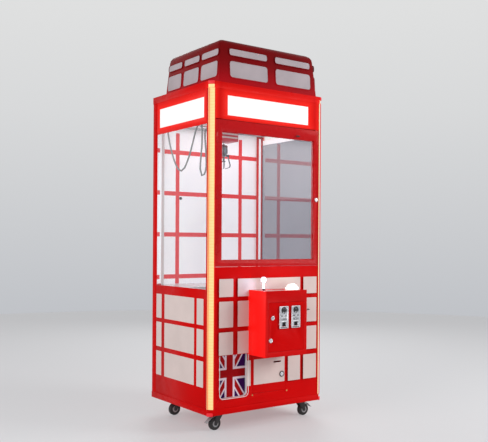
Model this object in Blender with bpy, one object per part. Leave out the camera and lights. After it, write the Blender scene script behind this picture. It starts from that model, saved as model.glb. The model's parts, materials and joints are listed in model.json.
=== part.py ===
"""Claw crane machine in the shape of a street telephone box.

Metres, +Z up, front towards -Y. The origin is on the floor, under the middle of the bounding box.
"""
import math

import bmesh
import bpy
from mathutils import Matrix, Vector

# ---- fits ----
GAP = 0.0003              # between pieces that touch
PLAY = 0.001              # round a door or a plate in its opening
SHEET = 0.003             # cabinet sheet metal
PAST = 0.01               # how far a cutter runs past the face that it cuts

# ---- cabinet ----
CABINET_WIDTH = 0.830
CABINET_DEPTH = 0.662
BASE_HEIGHT = 0.035
CABINET_TOP = 1.983
LID_HEIGHT = 0.040
RIM_PROUD = 0.002         # base and lid rims stand out by this
RIM_WALL = 0.012
LID_WALL = 0.007
POST_WIDTH = 0.030        # front corner posts, seen from the front
POST_DEPTH = 0.041        # and from the side
POST_CHAMFER = 0.026
POST_WALL = 0.002
LED_THICKNESS = 0.002
COLUMN_WIDTH = 0.037      # rear corner columns
COLUMN_DEPTH = 0.048
LINING_SPACE = 0.020      # between the back sheet and the white lining
LINING = 0.006
DECK_TOP = 0.807
DECK_THICKNESS = 0.012
SILL_HEIGHT = 0.032
SILL_DEPTH = 0.025
GLASS = 0.005
HEADER_FRONT_HEIGHT = 0.169
HEADER_SIDE_HEIGHT = 0.198
SIGN_THICKNESS = 0.004
SIGN_LAP = 0.006          # a sign is this much larger than its window
FRONT_SIGN_WIDTH = 0.600
FRONT_SIGN_HEIGHT = 0.113
FRONT_SIGN_RISE = 0.024   # window above the header's lower edge
SIDE_SIGN_WIDTH = 0.511
SIDE_SIGN_HEIGHT = 0.116
SIDE_SIGN_RISE = 0.039

# ---- domed roof header ----
DOME_HEIGHT = 0.252
DOME_WIDTH = 0.732
DOME_DEPTH = 0.605
DOME_AHEAD = 0.002
DOME_TAPER = 0.018
DOME_EDGE = 0.042
DOME_CORNER = 0.014
DOME_WALL = 0.004

# ---- front door ----
DOOR_BOTTOM = 0.937
DOOR_HEAD_GAP = 0.0045
DOOR_SIDE_GAP = 0.0015
DOOR_THICKNESS = 0.024
PANE_SET_BACK = 0.008     # door glass behind the frame's face
FRONT_LOCK_INSET = 0.0175
FRONT_LOCK_DROP = 0.012
FRONT_CAM_REACH = 0.030
STILE_LEFT = 0.046
STILE_RIGHT = 0.0395
RAIL_TOP = 0.0655
RAIL_BOTTOM = 0.037
KNUCKLE_RADIUS = 0.0045
KNUCKLE_AHEAD = 0.005
KNUCKLE_LENGTH = 0.060
LEAF_WIDTH = 0.018

# ---- prize chute and flap ----
CHUTE_INSET = 0.039       # chute's outer side from the cabinet's left side
CHUTE_WIDTH = 0.252
CHUTE_DEPTH = 0.282
CHUTE_WALL = 0.003
CHUTE_FLOOR_SLOPE = 0.14
CHUTE_FLOOR = 0.014
CHUTE_STEP = 0.008        # floor below the prize opening
DECK_LIP = 0.030          # deck left in front of the chute's mouth
PRIZE_INSET = 0.026       # prize opening from the chute's left side
PRIZE_WIDTH = 0.197
PRIZE_BOTTOM = 0.189
PRIZE_HEIGHT = 0.244
PRIZE_CORNER = 0.025
JAMB_DEPTH = 0.0195
FLAP_LAP = 0.004
FLAP_THICKNESS = 0.003
FLAP_BARREL = 0.0035

# ---- service door ----
SERVICE_GAP = 0.035       # from the prize opening
SERVICE_WIDTH = 0.251
SERVICE_BOTTOM = 0.194
SERVICE_HEIGHT = 0.218
SERVICE_LOCK_INSET = 0.0324
SERVICE_LOCK_RISE = 0.097
SERVICE_CAM_REACH = 0.040
FINGER_SLOT_WIDTH = 0.057
FINGER_SLOT_HEIGHT = 0.009
FINGER_SLOT_RISE = 0.1725
FINGER_SLOT_INSET = 0.0655

# ---- control box ----
BOX_WIDTH = 0.302
BOX_BOTTOM = 0.427
BOX_HEIGHT = 0.375
BOX_DEPTH = 0.169
BOX_SHEET = 0.002
COIN_DOOR_WIDTH = 0.260
COIN_DOOR_RISE = 0.0285
COIN_DOOR_HEIGHT = 0.2805
LOCK_BARREL = 0.012       # barrel behind a thin door
UPPER_LOCK = (-0.101, 0.222, 0.036)     # x, rise in the box, reach of the cam
LOWER_LOCK = (-0.1145, 0.095, 0.026)
PLATE_WIDTH = 0.066
PLATE_HEIGHT = 0.127
PLATE_PROUD = 0.008
PLATE_CENTRES = (-0.0245, 0.063)
PLATE_MIDDLE_RISE = 0.223
MECH_WIDTH = 0.050
MECH_HEIGHT = 0.100
MECH_DEPTH = 0.055
COIN_SLOT = (0.003, 0.030, 0.040)
COIN_SLOT_DROP = 0.010
PLATE_CORNER = 0.004
CUP = (0.030, 0.026, 0.016)
CUP_DROP = 0.040
RETURN_RISE = 0.040
RETURN_RADIUS = 0.0105
RETURN_PROUD = 0.003
RETURN_TRAVEL = 0.004
STICK_X = -0.105
STICK_AHEAD = 0.0875
STICK_PIVOT_DROP = 0.019
STICK_BALL = 0.019
STICK_BALL_RISE = 0.061
STICK_SHAFT = 0.005
STICK_HOLE = 0.015
BUTTON_X = 0.095
BUTTON_AHEAD = 0.100
BEZEL_RADIUS = 0.039
BEZEL_HEIGHT = 0.012
BUTTON_RADIUS = 0.0325
BUTTON_RISE = 0.034
BUTTON_STEM = 0.012
BUTTON_LIFT = 0.006
PEG_X = 0.2975
PEG_Z = 0.668
PEG_WIDTH = 0.015
PEG_THICKNESS = 0.004
PEG_LENGTH = 0.008

# ---- locks ----
LOCK_RADIUS = 0.0095
LOCK_FLANGE = 0.0125
LOCK_FLANGE_PROUD = 0.0025
CAM_WIDTH = 0.012
CAM_THICKNESS = 0.0025

# ---- crane ----
FRAME_RISE = 0.026        # gantry frame above the header's front lower edge
FRAME_HEIGHT = 0.030
FRAME_TUBE = 0.025
RAIL_PLAY = 0.0015        # between the gantry frame and the signs
TRUCK_INSET = 0.0035
BEAM_DROP = 0.005         # beam below the top of the trucks
CHEEK_LENGTH = 0.100      # trolley's cheeks either side of the beam
CHEEK_THICKNESS = 0.009
CHEEK_PLAY = 0.002
TRUCK_HEIGHT = 0.0245
TRUCK_WIDTH = 0.053
TRUCK_LENGTH = 0.110
BEAM_DEPTH = 0.040
BEAM_HEIGHT = 0.030
HOME_INSET_X = 0.205      # claw's home from the left side
HOME_INSET_Y = 0.176      # and from the front
TROLLEY_SIZE = (0.135, 0.110, 0.0915)
TROLLEY_DROP = 0.102      # trolley's underside below the header's front lower edge
EYE_DROP = 0.006
EYE_RADIUS = 0.008
EYE_BORE = 0.003
EYE_HEIGHT = 0.005
STRING_RADIUS = 0.0012
CLAW_DROP = 0.014         # top of the claw head below the trolley
CLAW_RADIUS = 0.024
CLAW_HOUSING = 0.058
HUB_RADIUS = 0.020
HUB_HEIGHT = 0.016
FINGER_RADIUS = 0.030     # finger pivots round the claw's middle
FINGER_WIDTH = 0.008
FINGER_THICKNESS = 0.004
FINGERS = 3
PLUNGER_RADIUS = 0.005
PLUNGER_LENGTH = 0.058
PLUNGER_RISE = 0.026      # rod inside the head
PLUNGER_FOOT = 0.012
FINGER_PATH = (
    (0.0, 0.004), (0.006, -0.004), (0.014, -0.034), (0.022, -0.056), (0.016, -0.071), (-0.015, -0.081),
)
CABLE_RADIUS = 0.005
CABLE_X_INSET = 0.055
CABLE_END_INSET = 0.035   # long loop's fixed end, from the back of the gantry frame
CABLE_START_AHEAD = 0.046 # and its moving end, behind the bridge's middle
# Loop points: share of the way from the bridge to the fixed end, and height above the header's lower edge.
BRIDGE_LOOP = (
    (1.0, 0.008), (0.9635, -0.029), (0.9101, -0.084), (0.8371, -0.144), (0.7107, -0.219),
    (0.6124, -0.254), (0.5112, -0.266), (0.4157, -0.252), (0.3174, -0.214), (0.2219, -0.162),
    (0.1348, -0.099), (0.0618, -0.045), (0.0, -0.016),
)
# Loop points from the beam to the trolley: distance across from the cabinet's middle, and the same height.
TROLLEY_LOOP = (
    (-0.360, -0.024), (-0.358, -0.050), (-0.358, -0.124), (-0.366, -0.214), (-0.369, -0.274),
    (-0.358, -0.310), (-0.340, -0.302), (-0.328, -0.254), (-0.330, -0.174), (-0.337, -0.094),
    (-0.336, -0.049), (-0.322, -0.030), (-0.295, -0.036), (-0.2785, -0.036),
)

# ---- casters ----
CASTER_INSET_X = 0.115
CASTER_INSET_FRONT = 0.075
CASTER_INSET_BACK = 0.135
WHEEL_RADIUS = 0.0375
WHEEL_WIDTH = 0.024
TRAIL = 0.030
FORK_WALL = 0.003
LEG_PLAY = 0.0025         # between a wheel's side and the fork's leg
FORK_HEAD_RADIUS = 0.026
FORK_HEAD_HEIGHT = 0.010
FORK_BACK = 0.022         # fork's block behind the pivot
CASTER_HEAD_ROOM = 0.025  # over the wheel, up to the base
BRAKE_PIVOT_AHEAD = 0.004
BRAKE_PIVOT_RISE = 0.0065
BRAKE_PATH = ((0.0, 0.0), (0.018, -0.004), (0.034, -0.014), (0.056, -0.034))
BRAKE_SHEET = 0.0025
PAD_SIZE = 0.070
PAD_THICKNESS = 0.003

# ---- fittings inside and behind ----
CASH_BOX_SIZE = (0.180, 0.190, 0.130)
SUPPLY_SIZE = (0.160, 0.200, 0.090)
SUPPLY_FOOT = 0.012
SUPPLY_INSETS = (0.050, 0.070)          # from the right side and the back
CASH_BOX_SET_BACK = 0.020
CASH_BOX_WALL = 0.002
FLOOR_SHEET = 0.004
INLET_SIZE = (0.048, 0.026, 0.018)
INLET_X = 0.250
INLET_Z = 0.220

# ---- places that follow ----
SIDE = CABINET_WIDTH / 2
BASE_BOTTOM = WHEEL_RADIUS * 2 + CASTER_HEAD_ROOM
FOREMOST = BOX_DEPTH + PLATE_PROUD + RETURN_PROUD
FRONT = (FOREMOST - CABINET_DEPTH - RIM_PROUD) / 2
BACK = FRONT + CABINET_DEPTH
BASE_TOP = BASE_BOTTOM + BASE_HEIGHT
LID_BOTTOM = CABINET_TOP - LID_HEIGHT
HEADER_BOTTOM = LID_BOTTOM - HEADER_FRONT_HEIGHT
WINDOW_TOP = LID_BOTTOM - HEADER_SIDE_HEIGHT
COLUMN_FRONT = BACK - COLUMN_DEPTH
COLUMN_SIDE = SIDE - COLUMN_WIDTH
DOOR_SIDE = SIDE - POST_WIDTH - DOOR_SIDE_GAP
DOOR_TOP = HEADER_BOTTOM - DOOR_HEAD_GAP
CHUTE_LEFT = -SIDE + CHUTE_INSET
CHUTE_RIGHT = CHUTE_LEFT + CHUTE_WIDTH
CHUTE_BACK = FRONT + SHEET + CHUTE_DEPTH
PRIZE_LEFT = CHUTE_LEFT + PRIZE_INSET
PRIZE_RIGHT = PRIZE_LEFT + PRIZE_WIDTH
PRIZE_TOP = PRIZE_BOTTOM + PRIZE_HEIGHT
JAMB_BACK = FRONT + SHEET + GAP + JAMB_DEPTH
FLAP_AXIS_Y = JAMB_BACK + FLAP_BARREL + PLAY
FLAP_AXIS_Z = PRIZE_TOP + FLAP_LAP + FLAP_BARREL * 2
SERVICE_LEFT = PRIZE_RIGHT + SERVICE_GAP
SERVICE_RIGHT = SERVICE_LEFT + SERVICE_WIDTH
SERVICE_TOP = SERVICE_BOTTOM + SERVICE_HEIGHT
BOX_TOP = BOX_BOTTOM + BOX_HEIGHT
BOX_FRONT = FRONT - BOX_DEPTH
COIN_DOOR_SIDE = COIN_DOOR_WIDTH / 2
COIN_DOOR_BOTTOM = BOX_BOTTOM + COIN_DOOR_RISE
COIN_DOOR_TOP = COIN_DOOR_BOTTOM + COIN_DOOR_HEIGHT
PLATE_Z = BOX_BOTTOM + PLATE_MIDDLE_RISE
STICK_Y = FRONT - STICK_AHEAD
STICK_PIVOT_Z = BOX_TOP - STICK_PIVOT_DROP
BUTTON_Y = FRONT - BUTTON_AHEAD
FRAME_BOTTOM = HEADER_BOTTOM + FRAME_RISE
FRAME_SIDE = SIDE - SHEET - SIGN_THICKNESS - RAIL_PLAY
FRAME_FRONT = FRONT + POST_DEPTH + PLAY
FRAME_BACK = COLUMN_FRONT - PLAY
TRUCK_TOP = FRAME_BOTTOM - GAP
TRUCK_BOTTOM = TRUCK_TOP - TRUCK_HEIGHT
TRUCK_SIDE = FRAME_SIDE - TRUCK_INSET
BEAM_TOP = TRUCK_TOP - BEAM_DROP
BEAM_BOTTOM = BEAM_TOP - BEAM_HEIGHT
HOME_X = -SIDE + HOME_INSET_X
HOME_Y = FRONT + HOME_INSET_Y
TROLLEY_BOTTOM = HEADER_BOTTOM - TROLLEY_DROP
EYE_Z = TROLLEY_BOTTOM - EYE_DROP
CLAW_TOP = TROLLEY_BOTTOM - CLAW_DROP
HUB_TOP = CLAW_TOP - CLAW_HOUSING
HUB_BOTTOM = HUB_TOP - HUB_HEIGHT
FINGER_Z = HUB_TOP - HUB_HEIGHT / 2
AXLE_Z = WHEEL_RADIUS

FINISHES = {
    "red_paint": ((0.72, 0.015, 0.012), 0.30, 0.0, 1.0),
    "maroon_frame": ((0.36, 0.010, 0.014), 0.25, 0.0, 1.0),
    "white_panel": ((0.85, 0.85, 0.86), 0.45, 0.0, 1.0),
    "lit_panel": ((0.95, 0.94, 0.90), 0.40, 0.0, 1.0),
    "warm_light": ((1.00, 0.84, 0.45), 0.40, 0.0, 1.0),
    "clear_glass": ((0.90, 0.95, 0.95), 0.03, 0.0, 0.25),
    "chrome": ((0.80, 0.80, 0.82), 0.12, 1.0, 1.0),
    "zinc": ((0.60, 0.61, 0.63), 0.35, 1.0, 1.0),
    "black_rubber": ((0.03, 0.03, 0.03), 0.70, 0.0, 1.0),
    "black_steel": ((0.05, 0.05, 0.05), 0.45, 0.6, 1.0),
    "grey_cable": ((0.45, 0.45, 0.46), 0.55, 0.0, 1.0),
    "lit_ball": ((0.80, 0.90, 1.00), 0.20, 0.0, 1.0),
    "flap_pattern": ((0.35, 0.04, 0.08), 0.40, 0.0, 1.0),
}


# ---- tools ----
def clear_scene():
    for item in list(bpy.data.objects):
        bpy.data.objects.remove(item, do_unlink=True)


def own_material(name, finish):
    colour, roughness, metallic, alpha = FINISHES[finish]
    material = bpy.data.materials.new(name)
    material.use_nodes = True
    shader = material.node_tree.nodes["Principled BSDF"]
    shader.inputs["Base Color"].default_value = (*colour, 1.0)
    shader.inputs["Roughness"].default_value = roughness
    shader.inputs["Metallic"].default_value = metallic
    shader.inputs["Alpha"].default_value = alpha
    return material


def add_piece(name, shape, finish, origin=(0, 0, 0), smooth=False):
    """Make an object from a bmesh in world coordinates, with its origin where stated."""
    mesh = bpy.data.meshes.new(name)
    shape.to_mesh(mesh)
    shape.free()
    mesh.transform(Matrix.Translation(-Vector(origin)))
    piece = bpy.data.objects.new(name, mesh)
    piece.location = origin
    bpy.context.collection.objects.link(piece)
    if finish:
        mesh.materials.append(own_material(name, finish))
    if smooth:
        mesh.shade_smooth()
        mesh.set_sharp_from_angle(angle=math.radians(35))
    return piece


def combine(piece, shape, operation):
    """Cut a shape out of a piece, or join it on."""
    tool = add_piece(f"{piece.name}_tool_{len(piece.modifiers) + 1}", shape, None)
    tool.hide_render = True
    tool.display_type = "WIRE"
    modifier = piece.modifiers.new(operation.capitalize(), "BOOLEAN")
    modifier.operation = operation
    modifier.object = tool


def cut(piece, shape):
    combine(piece, shape, "DIFFERENCE")


def join(piece, shape):
    combine(piece, shape, "UNION")


def on_axis(axis, u, v, w):
    """World point of a profile point (u, v) at w along an axis."""
    return Vector({"X": (w, u, v), "Y": (u, w, v), "Z": (u, v, w)}[axis])


def prism(outline, axis, start, end):
    shape = bmesh.new()
    lower = [shape.verts.new(on_axis(axis, u, v, start)) for u, v in outline]
    upper = [shape.verts.new(on_axis(axis, u, v, end)) for u, v in outline]
    shape.faces.new(lower)
    shape.faces.new(upper)
    for i in range(len(outline)):
        j = (i + 1) % len(outline)
        shape.faces.new((lower[i], lower[j], upper[j], upper[i]))
    bmesh.ops.recalc_face_normals(shape, faces=shape.faces)
    return shape


def block(low, high):
    return prism(rectangle(low[0], low[1], high[0], high[1]), "Z", low[2], high[2])


def rectangle(u0, v0, u1, v1):
    return [(u0, v0), (u1, v0), (u1, v1), (u0, v1)]


def rounded(u0, v0, u1, v1, radius, lower=True, upper=True, steps=5):
    """Rectangle with its lower or upper pair of corners, or both, rounded."""
    corners = [
        (u0 + radius, v0 + radius, 180, lower, (u0, v0)),
        (u1 - radius, v0 + radius, 270, lower, (u1, v0)),
        (u1 - radius, v1 - radius, 0, upper, (u1, v1)),
        (u0 + radius, v1 - radius, 90, upper, (u0, v1)),
    ]
    outline = []
    for u, v, first, is_round, corner in corners:
        if not is_round:
            outline.append(corner)
            continue
        for step in range(steps + 1):
            angle = math.radians(first + 90 * step / steps)
            outline.append((u + radius * math.cos(angle), v + radius * math.sin(angle)))
    return outline


def disc(u, v, radius, count=20):
    turn = 2 * math.pi / count
    return [(u + radius * math.cos(i * turn), v + radius * math.sin(i * turn)) for i in range(count)]


def turned(profile, centre, axis="Z", count=20, closed=False):
    """Turn a profile of (radius, height) points round an axis through the centre."""
    shape = bmesh.new()
    rings = []
    for radius, height in profile:
        points = disc(0, 0, radius, count) if radius > 0 else [(0, 0)]
        rings.append([shape.verts.new(Vector(centre) + on_axis(axis, u, v, height)) for u, v in points])
    pairs = list(zip(rings, rings[1:]))
    if closed:
        pairs.append((rings[-1], rings[0]))
    for near, far in pairs:
        for i in range(count):
            j = (i + 1) % count
            corners = [near[i % len(near)], near[j % len(near)], far[j % len(far)], far[i % len(far)]]
            shape.faces.new(list(dict.fromkeys(corners)))
    bmesh.ops.recalc_face_normals(shape, faces=shape.faces)
    return shape


def folded(points, thickness):
    """Outline of a folded strip whose outer skin runs through the points, with its wall to the right."""
    inner = []
    for i, point in enumerate(points):
        here = Vector(point)
        ways = []
        if i > 0:
            ways.append((here - Vector(points[i - 1])).normalized())
        if i < len(points) - 1:
            ways.append((Vector(points[i + 1]) - here).normalized())
        normals = [Vector((way.y, -way.x)) for way in ways]
        middle = sum(normals, Vector((0, 0))).normalized()
        inner.append(tuple(here + middle * thickness / middle.dot(normals[0])))
    return list(points) + inner[::-1]


def mirrored(outline):
    return [(-u, v) for u, v in outline]


def chamfered_plan(proud):
    """Plan of the cabinet with its front corners chamfered, grown outwards by the stated amount."""
    x = SIDE + proud
    front = FRONT - proud
    leg = POST_CHAMFER + proud * (2 - math.sqrt(2))
    back = BACK + proud
    return [(-x + leg, front), (x - leg, front), (x, front + leg), (x, back), (-x, back), (-x, front + leg)]


def turn_shape(shape, angle, axis, centre):
    bmesh.ops.rotate(shape, verts=shape.verts, cent=centre, matrix=Matrix.Rotation(angle, 3, axis))
    return shape


def smooth_route(points, spacing):
    """Points along a smooth curve through the route's own points."""
    route = [Vector(p) for p in points]
    padded = [route[0] * 2 - route[1], *route, route[-1] * 2 - route[-2]]
    found = []
    for a, b, c, d in zip(padded, padded[1:], padded[2:], padded[3:]):
        steps = max(1, round((c - b).length / spacing))
        for step in range(steps):
            t = step / steps
            bend = (2 * a - 5 * b + 4 * c - d) * t**2 + (3 * b - a - 3 * c + d) * t**3
            found.append(0.5 * (2 * b + (c - a) * t + bend))
    return found + [route[-1]]


def add_cable(name, points, radius, finish):
    curve = bpy.data.curves.new(name, "CURVE")
    curve.dimensions = "3D"
    curve.bevel_depth = radius
    curve.bevel_resolution = 2
    curve.use_fill_caps = True
    route = smooth_route(points, radius * 6)
    spline = curve.splines.new("POLY")
    spline.points.add(len(route) - 1)
    for point, place in zip(spline.points, route):
        point.co = (*place, 1)
    curve.materials.append(own_material(name, finish))
    piece = bpy.data.objects.new(name, curve)
    bpy.context.collection.objects.link(piece)
    return piece


# ---- cabinet ----
def make_base():
    floor = BASE_BOTTOM + FLOOR_SHEET
    base = add_piece("base_frame", prism(chamfered_plan(RIM_PROUD), "Z", BASE_BOTTOM, BASE_TOP), "red_paint")
    cut(base, prism(chamfered_plan(RIM_PROUD - RIM_WALL), "Z", floor, BASE_TOP + PAST))
    for x, y, _ in caster_places():
        pad = block(
            (x - PAD_SIZE / 2, y - PAD_SIZE / 2, BASE_BOTTOM - PAD_THICKNESS),
            (x + PAD_SIZE / 2, y + PAD_SIZE / 2, BASE_BOTTOM + 0.002),
        )
        join(base, pad)


def make_posts():
    bottom = BASE_TOP + GAP
    top = LID_BOTTOM - GAP
    inner_leg = POST_CHAMFER + LED_THICKNESS * math.sqrt(2)
    strip = [
        (-SIDE, FRONT + POST_DEPTH),
        (-SIDE, FRONT + inner_leg),
        (-SIDE + inner_leg, FRONT),
        (-SIDE + POST_WIDTH, FRONT),
    ]
    cover_in = (LED_THICKNESS - GAP) / math.sqrt(2)
    cover = [
        (-SIDE, FRONT + POST_CHAMFER),
        (-SIDE + POST_CHAMFER, FRONT),
        (-SIDE + POST_CHAMFER + cover_in, FRONT + cover_in),
        (-SIDE + cover_in, FRONT + POST_CHAMFER + cover_in),
    ]
    profile = folded(strip[::-1], POST_WALL)
    for side in ("left", "right"):
        flip = mirrored if side == "right" else list
        add_piece(f"corner_post_{side}", prism(flip(profile), "Z", bottom, top), "red_paint")
        add_piece(f"led_strip_{side}", prism(flip(cover), "Z", bottom, top), "warm_light")


def make_front_panel():
    side = SIDE - POST_WIDTH - GAP
    panel = add_piece(
        "front_panel",
        block((-side, FRONT, BASE_TOP + GAP), (side, FRONT + SHEET, DOOR_BOTTOM - PLAY)),
        "red_paint",
    )
    near = FRONT - PAST
    far = FRONT + 0.02
    prize = rounded(PRIZE_LEFT, PRIZE_BOTTOM, PRIZE_RIGHT, PRIZE_TOP, PRIZE_CORNER, upper=False)
    cut(panel, prism(prize, "Y", near, far))
    cut(panel, block((SERVICE_LEFT, near, SERVICE_BOTTOM), (SERVICE_RIGHT, far, SERVICE_TOP)))
    hatch = BOX_WIDTH / 2 - 0.030
    cut(panel, block((-hatch, near, BOX_BOTTOM + 0.045), (hatch, far, BOX_TOP - 0.045)))
    half = PEG_WIDTH / 2
    peg_low = (PEG_X - half, FRONT - PEG_LENGTH, PEG_Z - PEG_THICKNESS / 2)
    join(panel, block(peg_low, (PEG_X + half, FRONT + 0.001, PEG_Z + PEG_THICKNESS / 2)))


def make_side_panels():
    near = FRONT + POST_DEPTH + GAP
    far = COLUMN_FRONT - GAP
    skin = rectangle(-SIDE, BASE_TOP + GAP, -SIDE + SHEET, DECK_TOP)
    sill = rectangle(-SIDE + 0.001, DECK_TOP - SILL_HEIGHT, -SIDE + SILL_DEPTH, DECK_TOP - GAP)
    for side in ("left", "right"):
        flip = mirrored if side == "right" else list
        panel = add_piece(f"side_panel_{side}", prism(flip(skin), "Y", near, far), "red_paint")
        join(panel, prism(flip(sill), "Y", near + 0.001, far - 0.001))
        pane = rectangle(-SIDE + 0.004, DECK_TOP + GAP, -SIDE + 0.004 + GLASS, WINDOW_TOP - GAP)
        add_piece(f"window_{side}", prism(flip(pane), "Y", near, far), "clear_glass")


def make_rear():
    lip = BACK - LINING_SPACE - SHEET
    half = [(-COLUMN_SIDE, lip), (-COLUMN_SIDE, COLUMN_FRONT), (-SIDE, COLUMN_FRONT), (-SIDE, BACK)]
    outline = folded(half + mirrored(half)[::-1], SHEET)
    shell = add_piece("rear_shell", prism(outline, "Z", BASE_TOP + GAP, LID_BOTTOM - GAP), "red_paint")
    width, height, depth = INLET_SIZE
    wall = 0.004
    boss = block(
        (INLET_X - width / 2 - wall, BACK - depth - wall, INLET_Z - height / 2 - wall),
        (INLET_X + width / 2 + wall, BACK - 0.001, INLET_Z + height / 2 + wall),
    )
    join(shell, boss)
    ends = (INLET_X - width / 2, INLET_X + width / 2)
    pocket = rounded(ends[0], INLET_Z - height / 2, ends[1], INLET_Z + height / 2, 0.006, lower=False)
    cut(shell, prism(pocket, "Y", BACK - depth, BACK + PAST))
    lining = BACK - LINING_SPACE
    side = COLUMN_SIDE - PLAY
    add_piece(
        "back_wall",
        block((-side, lining - LINING + SHEET, DECK_TOP + GAP), (side, lining + SHEET, LID_BOTTOM - 0.05)),
        "white_panel",
    )


def make_deck():
    side = SIDE - SILL_DEPTH - PLAY
    inner = COLUMN_SIDE - PLAY
    front = FRONT + SHEET + GAP
    corner = SIDE - POST_WIDTH - PLAY
    behind_post = FRONT + POST_DEPTH / 2
    neck = COLUMN_FRONT - PLAY
    back = BACK - LINING_SPACE - LINING + SHEET - PLAY
    half = [(corner, front), (corner, behind_post), (side, behind_post), (side, neck), (inner, neck)]
    half.append((inner, back))
    plan = half + mirrored(half)[::-1]
    deck = add_piece("play_deck", prism(plan, "Z", DECK_TOP - DECK_THICKNESS, DECK_TOP), "white_panel")
    mouth = rectangle(
        CHUTE_LEFT + CHUTE_WALL, FRONT + DECK_LIP, CHUTE_RIGHT - CHUTE_WALL, CHUTE_BACK - CHUTE_WALL
    )
    cut(deck, prism(mouth, "Z", DECK_TOP - 0.05, DECK_TOP + 0.05))


def make_header():
    lid = prism(chamfered_plan(RIM_PROUD), "Z", LID_BOTTOM, CABINET_TOP)
    rim = add_piece("header_box", lid, "red_paint")
    lap = 0.010
    front_side = SIDE - POST_WIDTH - GAP
    front_wall = block((-front_side, FRONT, HEADER_BOTTOM), (front_side, FRONT + SHEET, LID_BOTTOM + lap))
    cut(rim, prism(chamfered_plan(RIM_PROUD - LID_WALL), "Z", LID_BOTTOM - PAST, CABINET_TOP - SHEET))
    join(rim, front_wall)
    near = FRONT + POST_DEPTH + GAP
    far = COLUMN_FRONT - GAP
    for side in (-1, 1):
        edges = sorted((side * SIDE, side * (SIDE - SHEET)))
        join(rim, block((edges[0], near, WINDOW_TOP), (edges[1], far, LID_BOTTOM + lap)))
    sign = front_sign_window()
    cut(rim, prism(sign, "Y", FRONT - PAST, FRONT + 0.02))
    cut(rim, prism(side_sign_window(), "X", -SIDE - 0.05, SIDE + 0.05))


def front_sign_window(lap=0.0):
    bottom = HEADER_BOTTOM + FRONT_SIGN_RISE
    reach = FRONT_SIGN_WIDTH / 2 + lap
    return rectangle(-reach, bottom - lap, reach, bottom + FRONT_SIGN_HEIGHT + lap)


def side_sign_window(lap=0.0):
    middle = (FRONT + POST_DEPTH + COLUMN_FRONT) / 2
    bottom = WINDOW_TOP + SIDE_SIGN_RISE
    reach = SIDE_SIGN_WIDTH / 2 + lap
    return rectangle(middle - reach, bottom - lap, middle + reach, bottom + SIDE_SIGN_HEIGHT + lap)


def make_signs():
    front = FRONT + SHEET + GAP
    panel = front_sign_window(SIGN_LAP)
    add_piece("sign_front", prism(panel, "Y", front, front + SIGN_THICKNESS), "lit_panel")
    inner = SIDE - SHEET - GAP
    panel = side_sign_window(SIGN_LAP)
    add_piece("sign_left", prism(panel, "X", -inner, -inner + SIGN_THICKNESS), "lit_panel")
    add_piece("sign_right", prism(panel, "X", inner - SIGN_THICKNESS, inner), "lit_panel")


def dome_ring(shape, inset, height):
    """One level of the dome: a rectangle with round corners, set in from the foot by the inset."""
    front = FRONT - DOME_AHEAD
    outline = rounded(
        -DOME_WIDTH / 2 + inset, front + inset, DOME_WIDTH / 2 - inset, front + DOME_DEPTH - inset,
        DOME_CORNER, steps=3,
    )
    return [shape.verts.new((x, y, CABINET_TOP + GAP + height)) for x, y in outline]


def make_dome():
    shape = bmesh.new()
    steps = 4
    rise = DOME_HEIGHT - DOME_EDGE
    levels = [(0.0, 0.0)]
    for step in range(steps + 1):
        angle = math.radians(90 * step / steps)
        levels.append((DOME_TAPER + DOME_EDGE * (1 - math.cos(angle)), rise + DOME_EDGE * math.sin(angle)))
    outer = [dome_ring(shape, inset, height) for inset, height in levels]
    inner = [dome_ring(shape, DOME_WALL, 0.0)]
    inner += [dome_ring(shape, inset + DOME_WALL, height - DOME_WALL) for inset, height in levels[1:]]
    rings = inner[::-1] + outer
    for near, far in zip(rings, rings[1:]):
        for i in range(len(near)):
            j = (i + 1) % len(near)
            shape.faces.new((near[i], near[j], far[j], far[i]))
    shape.faces.new(outer[-1])
    shape.faces.new(inner[-1])
    bmesh.ops.recalc_face_normals(shape, faces=shape.faces)
    add_piece("roof_dome", shape, "maroon_frame", smooth=True)


# ---- doors and locks ----
def make_lock(name, centre, barrel, reach, hole_in):
    """Cam lock in a front-facing sheet: centre is on the sheet's outer face, the cam hangs down."""
    x, y, z = centre
    back = barrel + CAM_THICKNESS
    body = [
        (0, -LOCK_FLANGE_PROUD), (LOCK_FLANGE * 0.9, -LOCK_FLANGE_PROUD), (LOCK_FLANGE, -0.0015),
        (LOCK_FLANGE, -GAP), (LOCK_RADIUS, -GAP), (LOCK_RADIUS, back), (0, back),
    ]
    lock = add_piece(name, turned(body, centre, "Y", 16), "chrome", origin=centre, smooth=True)
    cam = rounded(x - CAM_WIDTH / 2, z - reach, x + CAM_WIDTH / 2, z + CAM_WIDTH / 2, 0.005)
    join(lock, prism(cam, "Y", y + barrel, y + back))
    cut(hole_in, prism(disc(x, z, LOCK_RADIUS + GAP, 16), "Y", y - PAST, y + barrel + PAST))


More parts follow.
